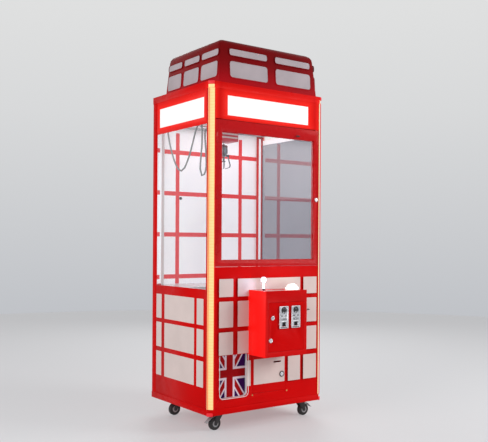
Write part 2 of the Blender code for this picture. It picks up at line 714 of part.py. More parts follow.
def make_front_door():
    axis = (-DOOR_SIDE, FRONT - KNUCKLE_AHEAD, (DOOR_BOTTOM + DOOR_TOP) / 2)
    low = (-DOOR_SIDE, FRONT, DOOR_BOTTOM)
    high = (DOOR_SIDE, FRONT + DOOR_THICKNESS, DOOR_TOP)
    frame = add_piece("front_door_frame", block(low, high), "maroon_frame", origin=axis)
    opening = rectangle(
        -DOOR_SIDE + STILE_LEFT, DOOR_BOTTOM + RAIL_BOTTOM, DOOR_SIDE - STILE_RIGHT, DOOR_TOP - RAIL_TOP
    )
    cut(frame, prism(opening, "Y", FRONT - PAST, FRONT + 0.05))
    height = DOOR_TOP - DOOR_BOTTOM
    for share in (0.12, 0.5, 0.88):
        middle = DOOR_BOTTOM + height * share
        low_z = middle - KNUCKLE_LENGTH / 2
        high_z = middle + KNUCKLE_LENGTH / 2
        leaf_low = (axis[0], FRONT - 0.003, low_z + PLAY)
        leaf_high = (axis[0] + LEAF_WIDTH, FRONT + 0.001, high_z - PLAY)
        join(frame, block(leaf_low, leaf_high))
        join(frame, prism(disc(axis[0], axis[1], KNUCKLE_RADIUS, 12), "Z", low_z, high_z))
    pane_low = (opening[0][0] + GAP, FRONT + PANE_SET_BACK, opening[0][1] + GAP)
    pane_high = (opening[2][0] - GAP, FRONT + PANE_SET_BACK + GLASS, opening[2][1] - GAP)
    add_piece("front_door_glass", block(pane_low, pane_high), "clear_glass", origin=axis)
    lock_at = (DOOR_SIDE - FRONT_LOCK_INSET, FRONT, (DOOR_BOTTOM + DOOR_TOP) / 2 - FRONT_LOCK_DROP)
    make_lock("front_door_lock", lock_at, DOOR_THICKNESS + CAM_THICKNESS, FRONT_CAM_REACH, frame)


def make_service_door():
    axis = (SERVICE_LEFT + PLAY, FRONT, (SERVICE_BOTTOM + SERVICE_TOP) / 2)
    low = (SERVICE_LEFT + PLAY, FRONT, SERVICE_BOTTOM + PLAY)
    high = (SERVICE_RIGHT - PLAY, FRONT + SHEET, SERVICE_TOP - PLAY)
    door = add_piece("service_door", block(low, high), "white_panel", origin=axis)
    slot_right = SERVICE_RIGHT - FINGER_SLOT_INSET + FINGER_SLOT_WIDTH / 2
    slot_z = SERVICE_BOTTOM + FINGER_SLOT_RISE - FINGER_SLOT_HEIGHT / 2
    slot_left = slot_right - FINGER_SLOT_WIDTH
    slot = rounded(slot_left, slot_z, slot_right, slot_z + FINGER_SLOT_HEIGHT, FINGER_SLOT_HEIGHT * 0.45)
    cut(door, prism(slot, "Y", FRONT - PAST, FRONT + PAST))
    lock_at = (SERVICE_RIGHT - SERVICE_LOCK_INSET, FRONT, SERVICE_BOTTOM + SERVICE_LOCK_RISE)
    make_lock("service_door_lock", lock_at, LOCK_BARREL, SERVICE_CAM_REACH, door)


def make_chute():
    floor = PRIZE_BOTTOM - CHUTE_STEP
    low = (CHUTE_LEFT, FRONT + SHEET + GAP, floor - CHUTE_FLOOR)
    high = (CHUTE_RIGHT, CHUTE_BACK, DECK_TOP - DECK_THICKNESS - GAP)
    chute = add_piece("prize_chute", block(low, high), "white_panel")
    inside = CHUTE_BACK - CHUTE_WALL
    slope = CHUTE_FLOOR_SLOPE * (inside - JAMB_BACK)
    mouth = high[2] + PAST
    well = [(JAMB_BACK, floor), (inside, floor + slope), (inside, mouth), (JAMB_BACK, mouth)]
    cut(chute, prism(well, "X", CHUTE_LEFT + CHUTE_WALL, CHUTE_RIGHT - CHUTE_WALL))
    shoulder = FLAP_AXIS_Z + 0.02
    cut(
        chute,
        block(
            (CHUTE_LEFT + CHUTE_WALL, low[1] + CHUTE_WALL, shoulder),
            (CHUTE_RIGHT - CHUTE_WALL, JAMB_BACK + PAST, high[2] + 0.02),
        ),
    )
    prize = rounded(PRIZE_LEFT, PRIZE_BOTTOM, PRIZE_RIGHT, PRIZE_TOP, PRIZE_CORNER, upper=False)
    cut(chute, prism(prize, "Y", FRONT - PAST, JAMB_BACK + PAST))


def make_flap():
    axis = ((PRIZE_LEFT + PRIZE_RIGHT) / 2, FLAP_AXIS_Y, FLAP_AXIS_Z)
    low = (PRIZE_LEFT - FLAP_LAP, FLAP_AXIS_Y - FLAP_BARREL, PRIZE_BOTTOM - FLAP_LAP)
    high = (PRIZE_RIGHT + FLAP_LAP, FLAP_AXIS_Y - FLAP_BARREL + FLAP_THICKNESS, FLAP_AXIS_Z)
    flap = add_piece("prize_flap", block(low, high), "flap_pattern", origin=axis)
    start = CHUTE_LEFT + CHUTE_WALL + PLAY / 2
    end = CHUTE_RIGHT - CHUTE_WALL - PLAY / 2
    join(flap, prism(disc(FLAP_AXIS_Y, FLAP_AXIS_Z, FLAP_BARREL, 12), "X", start, end))


# ---- control box ----
def make_control_box():
    side = BOX_WIDTH / 2
    back = FRONT - GAP
    outer = block((-side, BOX_FRONT, BOX_BOTTOM), (side, back, BOX_TOP))
    box = add_piece("control_box", outer, "red_paint")
    inner = (side - BOX_SHEET, back + PAST, BOX_TOP - BOX_SHEET)
    cut(box, block((-inner[0], BOX_FRONT + BOX_SHEET, BOX_BOTTOM + BOX_SHEET), inner))
    doorway_low = (-COIN_DOOR_SIDE, BOX_FRONT - PAST, COIN_DOOR_BOTTOM)
    cut(box, block(doorway_low, (COIN_DOOR_SIDE, BOX_FRONT + PAST, COIN_DOOR_TOP)))
    bore = BUTTON_RADIUS + PLAY
    bezel = [
        (bore, -0.001), (bore, BEZEL_HEIGHT), (BEZEL_RADIUS - 0.003, BEZEL_HEIGHT),
        (BEZEL_RADIUS, BEZEL_HEIGHT - 0.004), (BEZEL_RADIUS, -0.001),
    ]
    join(box, turned(bezel, (BUTTON_X, BUTTON_Y, BOX_TOP), "Z", 28, closed=True))
    cut(box, prism(disc(BUTTON_X, BUTTON_Y, BUTTON_STEM + PLAY), "Z", BOX_TOP - PAST, BOX_TOP + 0.02))
    cut(box, prism(disc(STICK_X, STICK_Y, STICK_HOLE), "Z", BOX_TOP - PAST, BOX_TOP + PAST))


def make_button():
    at = (BUTTON_X, BUTTON_Y, BOX_TOP)
    profile = [
        (0, -0.030), (BUTTON_STEM, -0.030), (BUTTON_STEM, BUTTON_LIFT), (BUTTON_RADIUS, BUTTON_LIFT),
        (BUTTON_RADIUS, BEZEL_HEIGHT + 0.004),
    ]
    rise = BUTTON_RISE - BEZEL_HEIGHT - 0.004
    for step in range(1, 5):
        angle = math.radians(90 * step / 5)
        profile.append((BUTTON_RADIUS * math.cos(angle), BEZEL_HEIGHT + 0.004 + rise * math.sin(angle)))
    profile.append((0, BUTTON_RISE))
    add_piece("push_button", turned(profile, at, "Z", 24), "lit_ball", origin=at, smooth=True)


def make_joystick():
    pivot = (STICK_X, STICK_Y, STICK_PIVOT_Z)
    ring = [(0.0085, -0.003), (0.0085, 0.003), (0.0135, 0.003), (0.0135, -0.003)]
    add_piece(
        "joystick_gimbal",
        turned(ring, pivot, "Z", 20, closed=True),
        "black_steel",
        origin=pivot,
        smooth=True,
    )
    ball = STICK_BALL_RISE + STICK_PIVOT_DROP
    profile = [(0, -0.022), (STICK_SHAFT, -0.022), (STICK_SHAFT, ball - STICK_BALL * 0.95)]
    for step in range(1, 8):
        angle = math.radians(-72 + 162 * step / 8)
        profile.append((STICK_BALL * math.cos(angle), ball + STICK_BALL * math.sin(angle)))
    profile.append((0, ball + STICK_BALL))
    add_piece("joystick", turned(profile, pivot, "Z", 20), "lit_ball", origin=pivot, smooth=True)


def make_coin_door():
    axis = (COIN_DOOR_SIDE - PLAY, BOX_FRONT, (COIN_DOOR_BOTTOM + COIN_DOOR_TOP) / 2)
    low = (-COIN_DOOR_SIDE + PLAY, BOX_FRONT, COIN_DOOR_BOTTOM + PLAY)
    high = (COIN_DOOR_SIDE - PLAY, BOX_FRONT + BOX_SHEET, COIN_DOOR_TOP - PLAY)
    door = add_piece("coin_door", block(low, high), "red_paint", origin=axis)
    for x in PLATE_CENTRES:
        hatch = block(
            (x - MECH_WIDTH / 2 - PLAY, BOX_FRONT - PAST, PLATE_Z - MECH_HEIGHT / 2 - PLAY),
            (x + MECH_WIDTH / 2 + PLAY, BOX_FRONT + PAST, PLATE_Z + MECH_HEIGHT / 2 + PLAY),
        )
        cut(door, hatch)
    for name, (x, rise, reach) in (("upper", UPPER_LOCK), ("lower", LOWER_LOCK)):
        make_lock(f"coin_door_lock_{name}", (x, BOX_FRONT, BOX_BOTTOM + rise), LOCK_BARREL, reach, door)


def make_coin_plates():
    for side, x in zip(("left", "right"), PLATE_CENTRES):
        face = BOX_FRONT - PLATE_PROUD
        left, right = x - PLATE_WIDTH / 2, x + PLATE_WIDTH / 2
        plate = rounded(left, PLATE_Z - PLATE_HEIGHT / 2, right, PLATE_Z + PLATE_HEIGHT / 2, PLATE_CORNER)
        piece = add_piece(f"coin_plate_{side}", prism(plate, "Y", face, BOX_FRONT - GAP), "chrome")
        mech = block(
            (x - MECH_WIDTH / 2, BOX_FRONT - 0.002, PLATE_Z - MECH_HEIGHT / 2),
            (x + MECH_WIDTH / 2, BOX_FRONT + MECH_DEPTH, PLATE_Z + MECH_HEIGHT / 2),
        )
        join(piece, mech)
        button_z = PLATE_Z + RETURN_RISE
        stem = RETURN_TRAVEL + 0.006
        cut(piece, prism(disc(x, button_z, RETURN_RADIUS + GAP), "Y", face - PAST, face + stem + 0.006))
        width, height, depth = COIN_SLOT
        slot_z = PLATE_Z - COIN_SLOT_DROP
        slot_high = (x + width / 2, face + depth, slot_z + height)
        cut(piece, block((x - width / 2, face - PAST, slot_z), slot_high))
        width, height, depth = CUP
        cup_z = PLATE_Z - CUP_DROP
        cup = rounded(x - width / 2, cup_z - height / 2, x + width / 2, cup_z + height / 2, 0.006)
        cut(piece, prism(cup, "Y", face - PAST, face + depth))
        at = (x, face, button_z)
        profile = [
            (0, -RETURN_PROUD), (RETURN_RADIUS * 0.85, -RETURN_PROUD), (RETURN_RADIUS, -RETURN_PROUD * 0.5),
            (RETURN_RADIUS, stem), (0, stem),
        ]
        cap = turned(profile, at, "Y", 20)
        add_piece(f"return_button_{side}", cap, "black_steel", origin=at, smooth=True)


# ---- crane ----
def make_gantry():
    low = (-FRAME_SIDE, FRAME_FRONT, FRAME_BOTTOM)
    high = (FRAME_SIDE, FRAME_BACK, FRAME_BOTTOM + FRAME_HEIGHT)
    frame = add_piece("gantry_frame", block(low, high), "zinc")
    inner = block(
        (-FRAME_SIDE + FRAME_TUBE, FRAME_FRONT + FRAME_TUBE, FRAME_BOTTOM - PAST),
        (FRAME_SIDE - FRAME_TUBE, FRAME_BACK - FRAME_TUBE, FRAME_BOTTOM + FRAME_HEIGHT + PAST),
    )
    cut(frame, inner)
    beam_side = TRUCK_SIDE - TRUCK_WIDTH / 2
    beam_low = (-beam_side, HOME_Y - BEAM_DEPTH / 2, BEAM_BOTTOM)
    beam_high = (beam_side, HOME_Y + BEAM_DEPTH / 2, BEAM_TOP)
    bridge = add_piece("bridge", block(beam_low, beam_high), "zinc", origin=(0, HOME_Y, BEAM_TOP))
    for side in (-1, 1):
        edges = sorted((side * TRUCK_SIDE, side * (TRUCK_SIDE - TRUCK_WIDTH)))
        near, far = HOME_Y - TRUCK_LENGTH / 2, HOME_Y + TRUCK_LENGTH / 2
        join(bridge, block((edges[0], near, TRUCK_BOTTOM), (edges[1], far, TRUCK_TOP)))


def make_trolley():
    width, depth, height = TROLLEY_SIZE
    top = TROLLEY_BOTTOM + height
    home = (HOME_X, HOME_Y, TROLLEY_BOTTOM)
    low = (HOME_X - width / 2, HOME_Y - depth / 2, TROLLEY_BOTTOM)
    high = (HOME_X + width / 2, HOME_Y + depth / 2, top)
    trolley = add_piece("trolley", block(low, high), "red_paint", origin=home)
    for side in (-1, 1):
        inner = side * (BEAM_DEPTH / 2 + CHEEK_PLAY)
        edges = sorted((HOME_Y + inner, HOME_Y + inner + side * CHEEK_THICKNESS))
        ends = (HOME_X - CHEEK_LENGTH / 2, HOME_X + CHEEK_LENGTH / 2)
        join(trolley, block((ends[0], edges[0], top - CHEEK_PLAY), (ends[1], edges[1], BEAM_TOP - 0.006)))
    pivot = (HOME_X, HOME_Y, EYE_Z)
    eye = [
        (EYE_BORE, -EYE_HEIGHT / 2), (EYE_BORE, EYE_HEIGHT / 2), (EYE_RADIUS, EYE_HEIGHT / 2),
        (EYE_RADIUS, -EYE_HEIGHT / 2),
    ]
    add_piece("string_eye", turned(eye, pivot, "Z", 16, closed=True), "chrome", origin=pivot, smooth=True)
    string = prism(disc(HOME_X, HOME_Y, STRING_RADIUS, 8), "Z", CLAW_TOP + GAP, EYE_Z + EYE_HEIGHT * 0.3)
    add_piece("hoist_string", string, "white_panel", origin=pivot)


def make_claw():
    at = (HOME_X, HOME_Y, CLAW_TOP)
    profile = [
        (0, 0), (0.006, 0), (0.007, -0.006), (CLAW_RADIUS - 0.004, -0.008), (CLAW_RADIUS, -0.012),
        (CLAW_RADIUS, -CLAW_HOUSING + 0.003), (HUB_RADIUS, -CLAW_HOUSING),
        (HUB_RADIUS, -CLAW_HOUSING - HUB_HEIGHT),
        (0, -CLAW_HOUSING - HUB_HEIGHT),
    ]
    head = add_piece("claw_head", turned(profile, at, "Z", 24), "chrome", origin=at, smooth=True)
    for finger in range(FINGERS):
        angle = 2 * math.pi * finger / FINGERS
        for side in (-1, 1):
            edges = sorted((side * (FINGER_WIDTH / 2 + GAP), side * (FINGER_WIDTH / 2 + 0.0028)))
            ear = block(
                (HOME_X + HUB_RADIUS - 0.004, HOME_Y + edges[0], HUB_BOTTOM + 0.001),
                (HOME_X + FINGER_RADIUS + 0.006, HOME_Y + edges[1], HUB_TOP - 0.003),
            )
            join(head, turn_shape(ear, angle, "Z", at))
    bore = PLUNGER_RADIUS + 0.0005
    bore_top = HUB_BOTTOM + PLUNGER_RISE + 0.002
    cut(head, prism(disc(HOME_X, HOME_Y, bore, 16), "Z", HUB_BOTTOM - PAST, bore_top))
    foot = (HOME_X, HOME_Y, HUB_BOTTOM + PLUNGER_RISE - PLUNGER_LENGTH)
    rod = [
        (0, 0), (PLUNGER_FOOT, 0), (PLUNGER_FOOT, 0.006), (PLUNGER_RADIUS, 0.008),
        (PLUNGER_RADIUS, PLUNGER_LENGTH), (0, PLUNGER_LENGTH),
    ]
    add_piece("claw_plunger", turned(rod, foot, "Z", 16), "zinc", origin=foot, smooth=True)
    start = HOME_X + FINGER_RADIUS - FINGER_THICKNESS / 2
    path = [(start + out, FINGER_Z + up) for out, up in FINGER_PATH]
    outline = folded(path, FINGER_THICKNESS)
    for finger in range(FINGERS):
        angle = 2 * math.pi * finger / FINGERS
        shape = prism(outline, "Y", HOME_Y - FINGER_WIDTH / 2, HOME_Y + FINGER_WIDTH / 2)
        turn_shape(shape, angle, "Z", at)
        pivot = (
            HOME_X + FINGER_RADIUS * math.cos(angle), HOME_Y + FINGER_RADIUS * math.sin(angle), FINGER_Z
        )
        add_piece(f"claw_finger_{finger + 1}", shape, "chrome", origin=pivot)


def make_cables():
    """Slack loops of cable: from the gantry frame to the bridge, and from the bridge to the trolley."""
    x = -SIDE + CABLE_X_INSET
    top = HEADER_BOTTOM
    fixed = FRAME_BACK - CABLE_END_INSET
    moving = HOME_Y + CABLE_START_AHEAD
    long_loop = [(x, moving + (fixed - moving) * share, top + up) for share, up in BRIDGE_LOOP]
    long_loop.insert(0, (x, fixed, FRAME_BOTTOM - PLAY))
    long_loop.append((x, moving, TRUCK_BOTTOM - PLAY))
    add_cable("bridge_cable", long_loop, CABLE_RADIUS, "grey_cable")
    short_loop = [(across, HOME_Y, top + up) for across, up in TROLLEY_LOOP]
    short_loop.insert(0, (TROLLEY_LOOP[0][0], HOME_Y, BEAM_BOTTOM - PLAY))
    add_cable("trolley_cable", short_loop, CABLE_RADIUS, "grey_cable")


# ---- casters ----
def caster_places():
    """(x, y, direction of the trail along X) of each caster's pivot."""
    x = SIDE - CASTER_INSET_X
    front = FRONT + CASTER_INSET_FRONT
    back = BACK - CASTER_INSET_BACK
    return [(-x, front, -1), (x, front, 1), (-x, back, -1), (x, back, 1)]


def make_casters():
    names = ("front_left", "front_right", "rear_left", "rear_right")
    pad_bottom = BASE_BOTTOM - PAD_THICKNESS
    crown = pad_bottom - 0.0005
    leg_y = WHEEL_WIDTH / 2 + LEG_PLAY
    for name, (x, y, way) in zip(names, caster_places()):
        axle = x + way * TRAIL
        pivot = (x, y, crown)
        foot = -FORK_HEAD_HEIGHT
        head = [(0, 0), (FORK_BACK, 0), (FORK_HEAD_RADIUS, foot * 0.6), (FORK_HEAD_RADIUS, foot), (0, foot)]
        fork = add_piece(f"caster_fork_{name}", turned(head, pivot, "Z", 20), "black_steel", pivot, True)
        for side in (-1, 1):
            edges = sorted((y + side * leg_y, y + side * (leg_y + FORK_WALL)))
            leg = [
                (x - way * FORK_BACK, crown - 0.004), (axle, crown - 0.004),
                (axle + way * 0.010, AXLE_Z - 0.002), (axle + way * 0.005, AXLE_Z - 0.010),
                (axle - way * 0.005, AXLE_Z - 0.010), (axle - way * 0.012, AXLE_Z),
            ]
            join(fork, prism(leg, "Y", *edges))
        ends = sorted((x - way * FORK_BACK, axle))
        across = leg_y + FORK_WALL
        join(fork, block((ends[0], y - across, crown + foot), (ends[1], y + across, crown - 0.004)))
        tread = [
            (0, -WHEEL_WIDTH / 2 - 0.002), (0.010, -WHEEL_WIDTH / 2 - 0.002), (0.010, -WHEEL_WIDTH / 2),
            (WHEEL_RADIUS - 0.003, -WHEEL_WIDTH / 2), (WHEEL_RADIUS, -WHEEL_WIDTH / 2 + 0.004),
        ]
        profile = tread + [(radius, -height) for radius, height in tread[::-1]]
        centre = (axle, y, AXLE_Z)
        add_piece(f"caster_wheel_{name}", turned(profile, centre, "Y", 28), "black_rubber", centre, True)
        if name.startswith("front"):
            make_brake(name, x, y, way, leg_y)


def make_brake(name, x, y, way, leg_y):
    """Foot lever behind the wheel, hinged between the fork's legs above the tyre."""
    pivot = (x + way * (TRAIL + BRAKE_PIVOT_AHEAD), y, AXLE_Z + WHEEL_RADIUS + BRAKE_PIVOT_RISE)
    half = leg_y - 0.0008
    outline = folded([(pivot[0] + way * out, pivot[2] + up) for out, up in BRAKE_PATH], BRAKE_SHEET * way)
    add_piece(f"brake_pedal_{name}", prism(outline, "Y", y - half, y + half), "zinc", origin=pivot)


# ---- fittings inside ----
def make_fittings():
    floor = BASE_BOTTOM + FLOOR_SHEET + GAP
    width, depth, height = CASH_BOX_SIZE
    left = (SERVICE_LEFT + SERVICE_RIGHT - width) / 2
    near = FRONT + SHEET + CASH_BOX_SET_BACK
    outer = block((left, near, floor), (left + width, near + depth, floor + height))
    cash = add_piece("cash_box", outer, "zinc")
    wall = CASH_BOX_WALL
    inner_high = (left + width - wall, near + depth - wall, floor + height + PAST)
    cut(cash, block((left + wall, near + wall, floor + wall), inner_high))
    width, depth, height = SUPPLY_SIZE
    low = (SIDE - SUPPLY_INSETS[0] - width, BACK - SUPPLY_INSETS[1] - depth, floor)
    supply = add_piece("power_supply", block(low, (low[0] + width, low[1] + depth, floor + height)), "zinc")
    foot_low = (low[0] - SUPPLY_FOOT, low[1] + PAST, floor)
    join(supply, block(foot_low, (low[0] + width + SUPPLY_FOOT, low[1] + depth - PAST, floor + 0.003)))


def main():
    clear_scene()
    make_base()
    make_posts()
    make_front_panel()
    make_side_panels()
    make_rear()
    make_deck()
    make_header()
    make_signs()
    make_dome()
    make_front_door()
    make_service_door()
    make_chute()
    make_flap()
    make_control_box()
    make_button()
    make_joystick()
    make_coin_door()
    make_coin_plates()
    make_gantry()
    make_trolley()
    make_claw()
    make_cables()
    make_casters()
    make_fittings()


main()
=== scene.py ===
"""Looks of the claw crane machine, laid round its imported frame.

Metres, +Z up, front towards -Y, as in the frame.
"""

import json
import math

import bpy
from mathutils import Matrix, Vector

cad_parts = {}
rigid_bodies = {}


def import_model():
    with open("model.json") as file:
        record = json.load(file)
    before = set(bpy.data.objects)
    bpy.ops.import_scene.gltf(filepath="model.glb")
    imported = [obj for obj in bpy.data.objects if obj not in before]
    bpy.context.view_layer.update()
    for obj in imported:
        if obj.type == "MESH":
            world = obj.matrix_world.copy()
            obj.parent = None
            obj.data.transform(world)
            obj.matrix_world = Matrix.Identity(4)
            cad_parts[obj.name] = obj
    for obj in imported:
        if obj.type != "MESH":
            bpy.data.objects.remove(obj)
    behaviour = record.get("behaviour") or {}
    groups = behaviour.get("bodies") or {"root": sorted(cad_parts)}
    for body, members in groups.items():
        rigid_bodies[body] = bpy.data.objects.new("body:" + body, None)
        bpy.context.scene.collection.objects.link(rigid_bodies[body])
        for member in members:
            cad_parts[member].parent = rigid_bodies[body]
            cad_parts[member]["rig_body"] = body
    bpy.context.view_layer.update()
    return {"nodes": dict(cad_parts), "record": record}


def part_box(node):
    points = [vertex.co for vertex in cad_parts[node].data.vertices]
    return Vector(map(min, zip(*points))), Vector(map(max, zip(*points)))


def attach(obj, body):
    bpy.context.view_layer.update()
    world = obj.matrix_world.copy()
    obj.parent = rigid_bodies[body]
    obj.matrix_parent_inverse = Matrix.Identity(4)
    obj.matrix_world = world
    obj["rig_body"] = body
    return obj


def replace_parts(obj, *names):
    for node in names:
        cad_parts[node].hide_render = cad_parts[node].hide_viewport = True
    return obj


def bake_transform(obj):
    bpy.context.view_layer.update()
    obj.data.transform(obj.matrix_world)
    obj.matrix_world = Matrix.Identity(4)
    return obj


bl_info = {
    "name": "Claw Crane Machine",
    "version": (1, 0, 0),
    "blender": (4, 5, 0),
    "location": "View3D > Sidebar > Crane",
    "description": "Panels, trim, fittings and finishes of a telephone box claw crane",
    "category": "Object",
}

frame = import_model()
X, Y, Z = 0, 1, 2


# ---- sizes taken from the frame ----
def low(node):
    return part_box(node)[0]


def high(node):
    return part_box(node)[1]


def middle(node):
    lo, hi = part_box(node)
    return (lo + hi) / 2


FRONT = low("front_panel").y
LEFT = low("side_panel_left").x
RIGHT = high("side_panel_right").x
BEZEL_HEIGHT = 0.012


# ---- selection and mesh tools ----
def clear_selection():
    """Leaves object mode with nothing selected."""
    if bpy.context.object and bpy.context.object.mode != "OBJECT":
        bpy.ops.object.mode_set(mode="OBJECT")
    for item in bpy.context.selected_objects:
        item.select_set(False)


def take(piece):
    """Makes one piece the only selected and active one."""
    clear_selection()
    piece.select_set(True)
    bpy.context.view_layer.objects.active = piece
    return piece


def settle():
    """Puts the active piece's place into its mesh."""
    bpy.ops.object.transform_apply(location=True, rotation=True, scale=True)
    return bpy.context.object


def deselect_all(piece, kind):
    """Leaves the piece in object mode with none of its edges or faces selected."""
    take(piece)
    bpy.ops.object.mode_set(mode="EDIT")
    bpy.ops.mesh.select_mode(type=kind)
    bpy.ops.mesh.select_all(action="DESELECT")
    bpy.ops.object.mode_set(mode="OBJECT")


def pick_edges(piece, wanted):
    """Enters edit mode with the edges selected whose two ends pass the test."""
    deselect_all(piece, "EDGE")
    places = [v.co for v in piece.data.vertices]
    for edge in piece.data.edges:
        edge.select = wanted(places[edge.vertices[0]], places[edge.vertices[1]])
    bpy.ops.object.mode_set(mode="EDIT")


def pick_faces(piece, wanted):
    """Enters edit mode with the faces selected whose centre and normal pass the test."""
    deselect_all(piece, "FACE")
    for face in piece.data.polygons:
        face.select = wanted(face.center, face.normal)
    bpy.ops.object.mode_set(mode="EDIT")


def drop_faces(piece, wanted):
    """Takes away the faces whose centre and normal pass the test."""
    pick_faces(piece, wanted)
    bpy.ops.mesh.delete(type="FACE")
    bpy.ops.object.mode_set(mode="OBJECT")


def modify(piece, kind, **values):
    """Adds a modifier and applies it at once."""
    take(piece)
    bpy.ops.object.modifier_add(type=kind)
    modifier = piece.modifiers[-1]
    for key, value in values.items():
        setattr(modifier, key, value)
    bpy.ops.object.modifier_apply(modifier=modifier.name)
    return piece


def soften_edges(piece, width, segments=2, angle=40.0):
    """Rounds the sharp edges by a small width."""
    return modify(
        piece, "BEVEL", width=width, segments=segments, limit_method="ANGLE",
        angle_limit=math.radians(angle), harden_normals=True,
    )


def smooth(piece, angle=35.0):
    """Smooth shading, with the sharper edges kept."""
    take(piece)
    bpy.ops.object.shade_smooth_by_angle(angle=math.radians(angle))
    return piece


def plate(lowest, highest, axis=Y, corner=0.0, soft=0.0, steps=5):
    """A flat plate between two corners, with round corners seen along the axis."""
    lowest, highest = Vector(lowest), Vector(highest)
    clear_selection()
    bpy.ops.mesh.primitive_cube_add(size=1.0, location=(lowest + highest) / 2, scale=highest - lowest)
    piece = settle()
    if corner:
        pick_edges(piece, lambda a, b: abs((b - a).normalized()[axis]) > 0.99)
        bpy.ops.mesh.bevel(offset=corner, segments=steps, affect="EDGES")
        bpy.ops.object.mode_set(mode="OBJECT")
    if soft:
        soften_edges(piece, soft)
    return piece


def border(lowest, highest, axis, width, corner=0.0, soft=0.0):
    """A flat frame between two corners, open along the axis."""
    piece = plate(lowest, highest, axis, corner)
    pick_faces(piece, lambda centre, normal: abs(normal[axis]) > 0.9)
    bpy.ops.mesh.inset(thickness=width, depth=0.0, use_individual=True)
    bpy.ops.mesh.bridge_edge_loops()
    bpy.ops.object.mode_set(mode="OBJECT")
    if soft:
        soften_edges(piece, soft)
    return piece


def raised(x, half, front, back, bottom, top, corner=0.0, soft=0.0, width=0.0):
    """A plate centred on x and facing the front. A width makes it an open frame."""
    lowest, highest = (x - half, front, bottom), (x + half, back, top)
    if width:
        return border(lowest, highest, Y, width, corner, soft)
    return plate(lowest, highest, Y, corner, soft)


TURNS = {"+Z": (0, 0, 0), "-Y": (90, 0, 0), "+Y": (-90, 0, 0)}
SCREW_STEPS = ((0.0042, 0), (0.0042, 0.0008), (0.0032, 0.0018), (0.0016, 0.0022))
SMALL_SCREW_STEPS = ((0.0028, 0), (0.0028, 0.0007), (0.0018, 0.0013))
PEG_STEPS = ((0.0048, 0), (0.0048, 0.001), (0.0026, 0.0015), (0.0026, 0.010), (0.0036, 0.0112),
             (0.0026, 0.0135))
HUB_STEPS = ((0.019, 0), (0.019, 0.0008), (0.016, 0.0014), (0.007, 0.0014))
ROSE_STEPS = ((0.0175, 0), (0.0175, 0.0008), (0.0160, 0.0012))
LINING_LOCK_STEPS = ((0.0095, 0), (0.0095, 0.003), (0.006, 0.004), (0.006, 0.006))
COIN_OVAL_STEPS = ((0.0190, 0), (0.0190, 0.0009), (0.0170, 0.0014), (0.0128, 0.0014))
SLEEVE_STEPS = ((0.0068, 0.0085), (0.0074, 0.0095), (0.0078, 0.016), (0.0064, 0.034), (0.0070, 0.042))
BOOT_STEPS = ((0.0055, -0.006), (0.0055, 0.0050), (0.0095, 0.0054), (0.0095, 0.0064), (0.0080, 0.0072),
              (0.0084, 0.0082), (0.0062, 0.0090))


def turned(centre, steps, towards="+Z", sides=32, soft=0.0):
    """A turned piece. Each step is a radius and a height up its axis."""
    clear_selection()
    radius, height = steps[0]
    bpy.ops.mesh.primitive_circle_add(
        vertices=sides, radius=radius, fill_type="NGON", location=(0, 0, height))
    piece = settle()
    take(piece)
    bpy.ops.object.mode_set(mode="EDIT")
    bpy.ops.mesh.select_mode(type="FACE")
    bpy.ops.mesh.select_all(action="SELECT")
    for next_radius, next_height in steps[1:]:
        bpy.ops.mesh.extrude_region_move(TRANSFORM_OT_translate={"value": (0, 0, next_height - height)})
        share = next_radius / radius
        bpy.ops.transform.resize(value=(share, share, 1.0), center_override=(0, 0, next_height))
        radius, height = next_radius, next_height
    bpy.ops.mesh.select_all(action="SELECT")
    bpy.ops.mesh.normals_make_consistent(inside=False)
    bpy.ops.object.mode_set(mode="OBJECT")
    piece.rotation_euler = [math.radians(a) for a in TURNS[towards]]
    piece.location = centre
    settle()
    if soft:
        soften_edges(piece, soft)
    return piece


def hollow(piece, cutter):
    """Cuts one piece out of another and takes the cutter away."""
    modify(piece, "BOOLEAN", object=cutter, operation="DIFFERENCE", solver="EXACT")
    take(cutter)
    bpy.ops.object.delete()
    return take(piece)


def joined(name, parts):
    """One object of several parts."""
    clear_selection()
    for part in parts:
        part.select_set(True)
    bpy.context.view_layer.objects.active = parts[0]
    if len(parts) > 1:
        bpy.ops.object.join()
    piece = bpy.context.object
    piece.name = name
    piece.data.name = name
    return piece


def dress(piece, material):
    """Gives a piece its one material: the name of one of MATERIALS, or a material itself."""
    material = MATERIALS.get(material, material)
    piece.data.materials.clear()
    piece.data.materials.append(material)
    return piece


def complete(piece, material, body, angle=35.0):
    """Gives a piece its material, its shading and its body."""
    dress(piece, material)
    smooth(piece, angle)
    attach(piece, body)
    return piece


def fit(name, parts, material, body, angle=35.0):
    """Joins the parts into a finished piece that rides on a body."""
    return complete(joined(name, parts), material, body, angle)


def merged_copy(node, name):
    """A copy of a frame node's mesh with its corners merged and its flat faces whole."""
    source = frame["nodes"][node]
    piece = bpy.data.objects.new(name, source.data.copy())
    bpy.context.scene.collection.objects.link(piece)
    take(piece)
    bpy.ops.object.mode_set(mode="EDIT")
    bpy.ops.mesh.select_all(action="SELECT")
    bpy.ops.mesh.remove_doubles(threshold=0.00002)
    bpy.ops.mesh.dissolve_limited(angle_limit=math.radians(0.5))
    bpy.ops.object.mode_set(mode="OBJECT")
    return piece


def refine(node, material, soft=0.0, angle=35.0):
    """Shows a clean copy of a node, with softened edges, in its place."""
    piece = merged_copy(node, node + "_finish")
    if soft:
        soften_edges(piece, soft)
    complete(piece, material, frame["nodes"][node]["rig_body"], angle)
    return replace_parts(piece, node)


# ---- material tools ----
def add(tree, kind, **values):
    """A node with its properties set."""
    made = tree.nodes.new(kind)
    for key, value in values.items():
        setattr(made, key, value)
    return made


def feed(tree, source, target):
    """Links an output to an input, or sets the input to a plain value."""
    if hasattr(source, "links"):
        tree.links.new(source, target)
    else:
        target.default_value = source


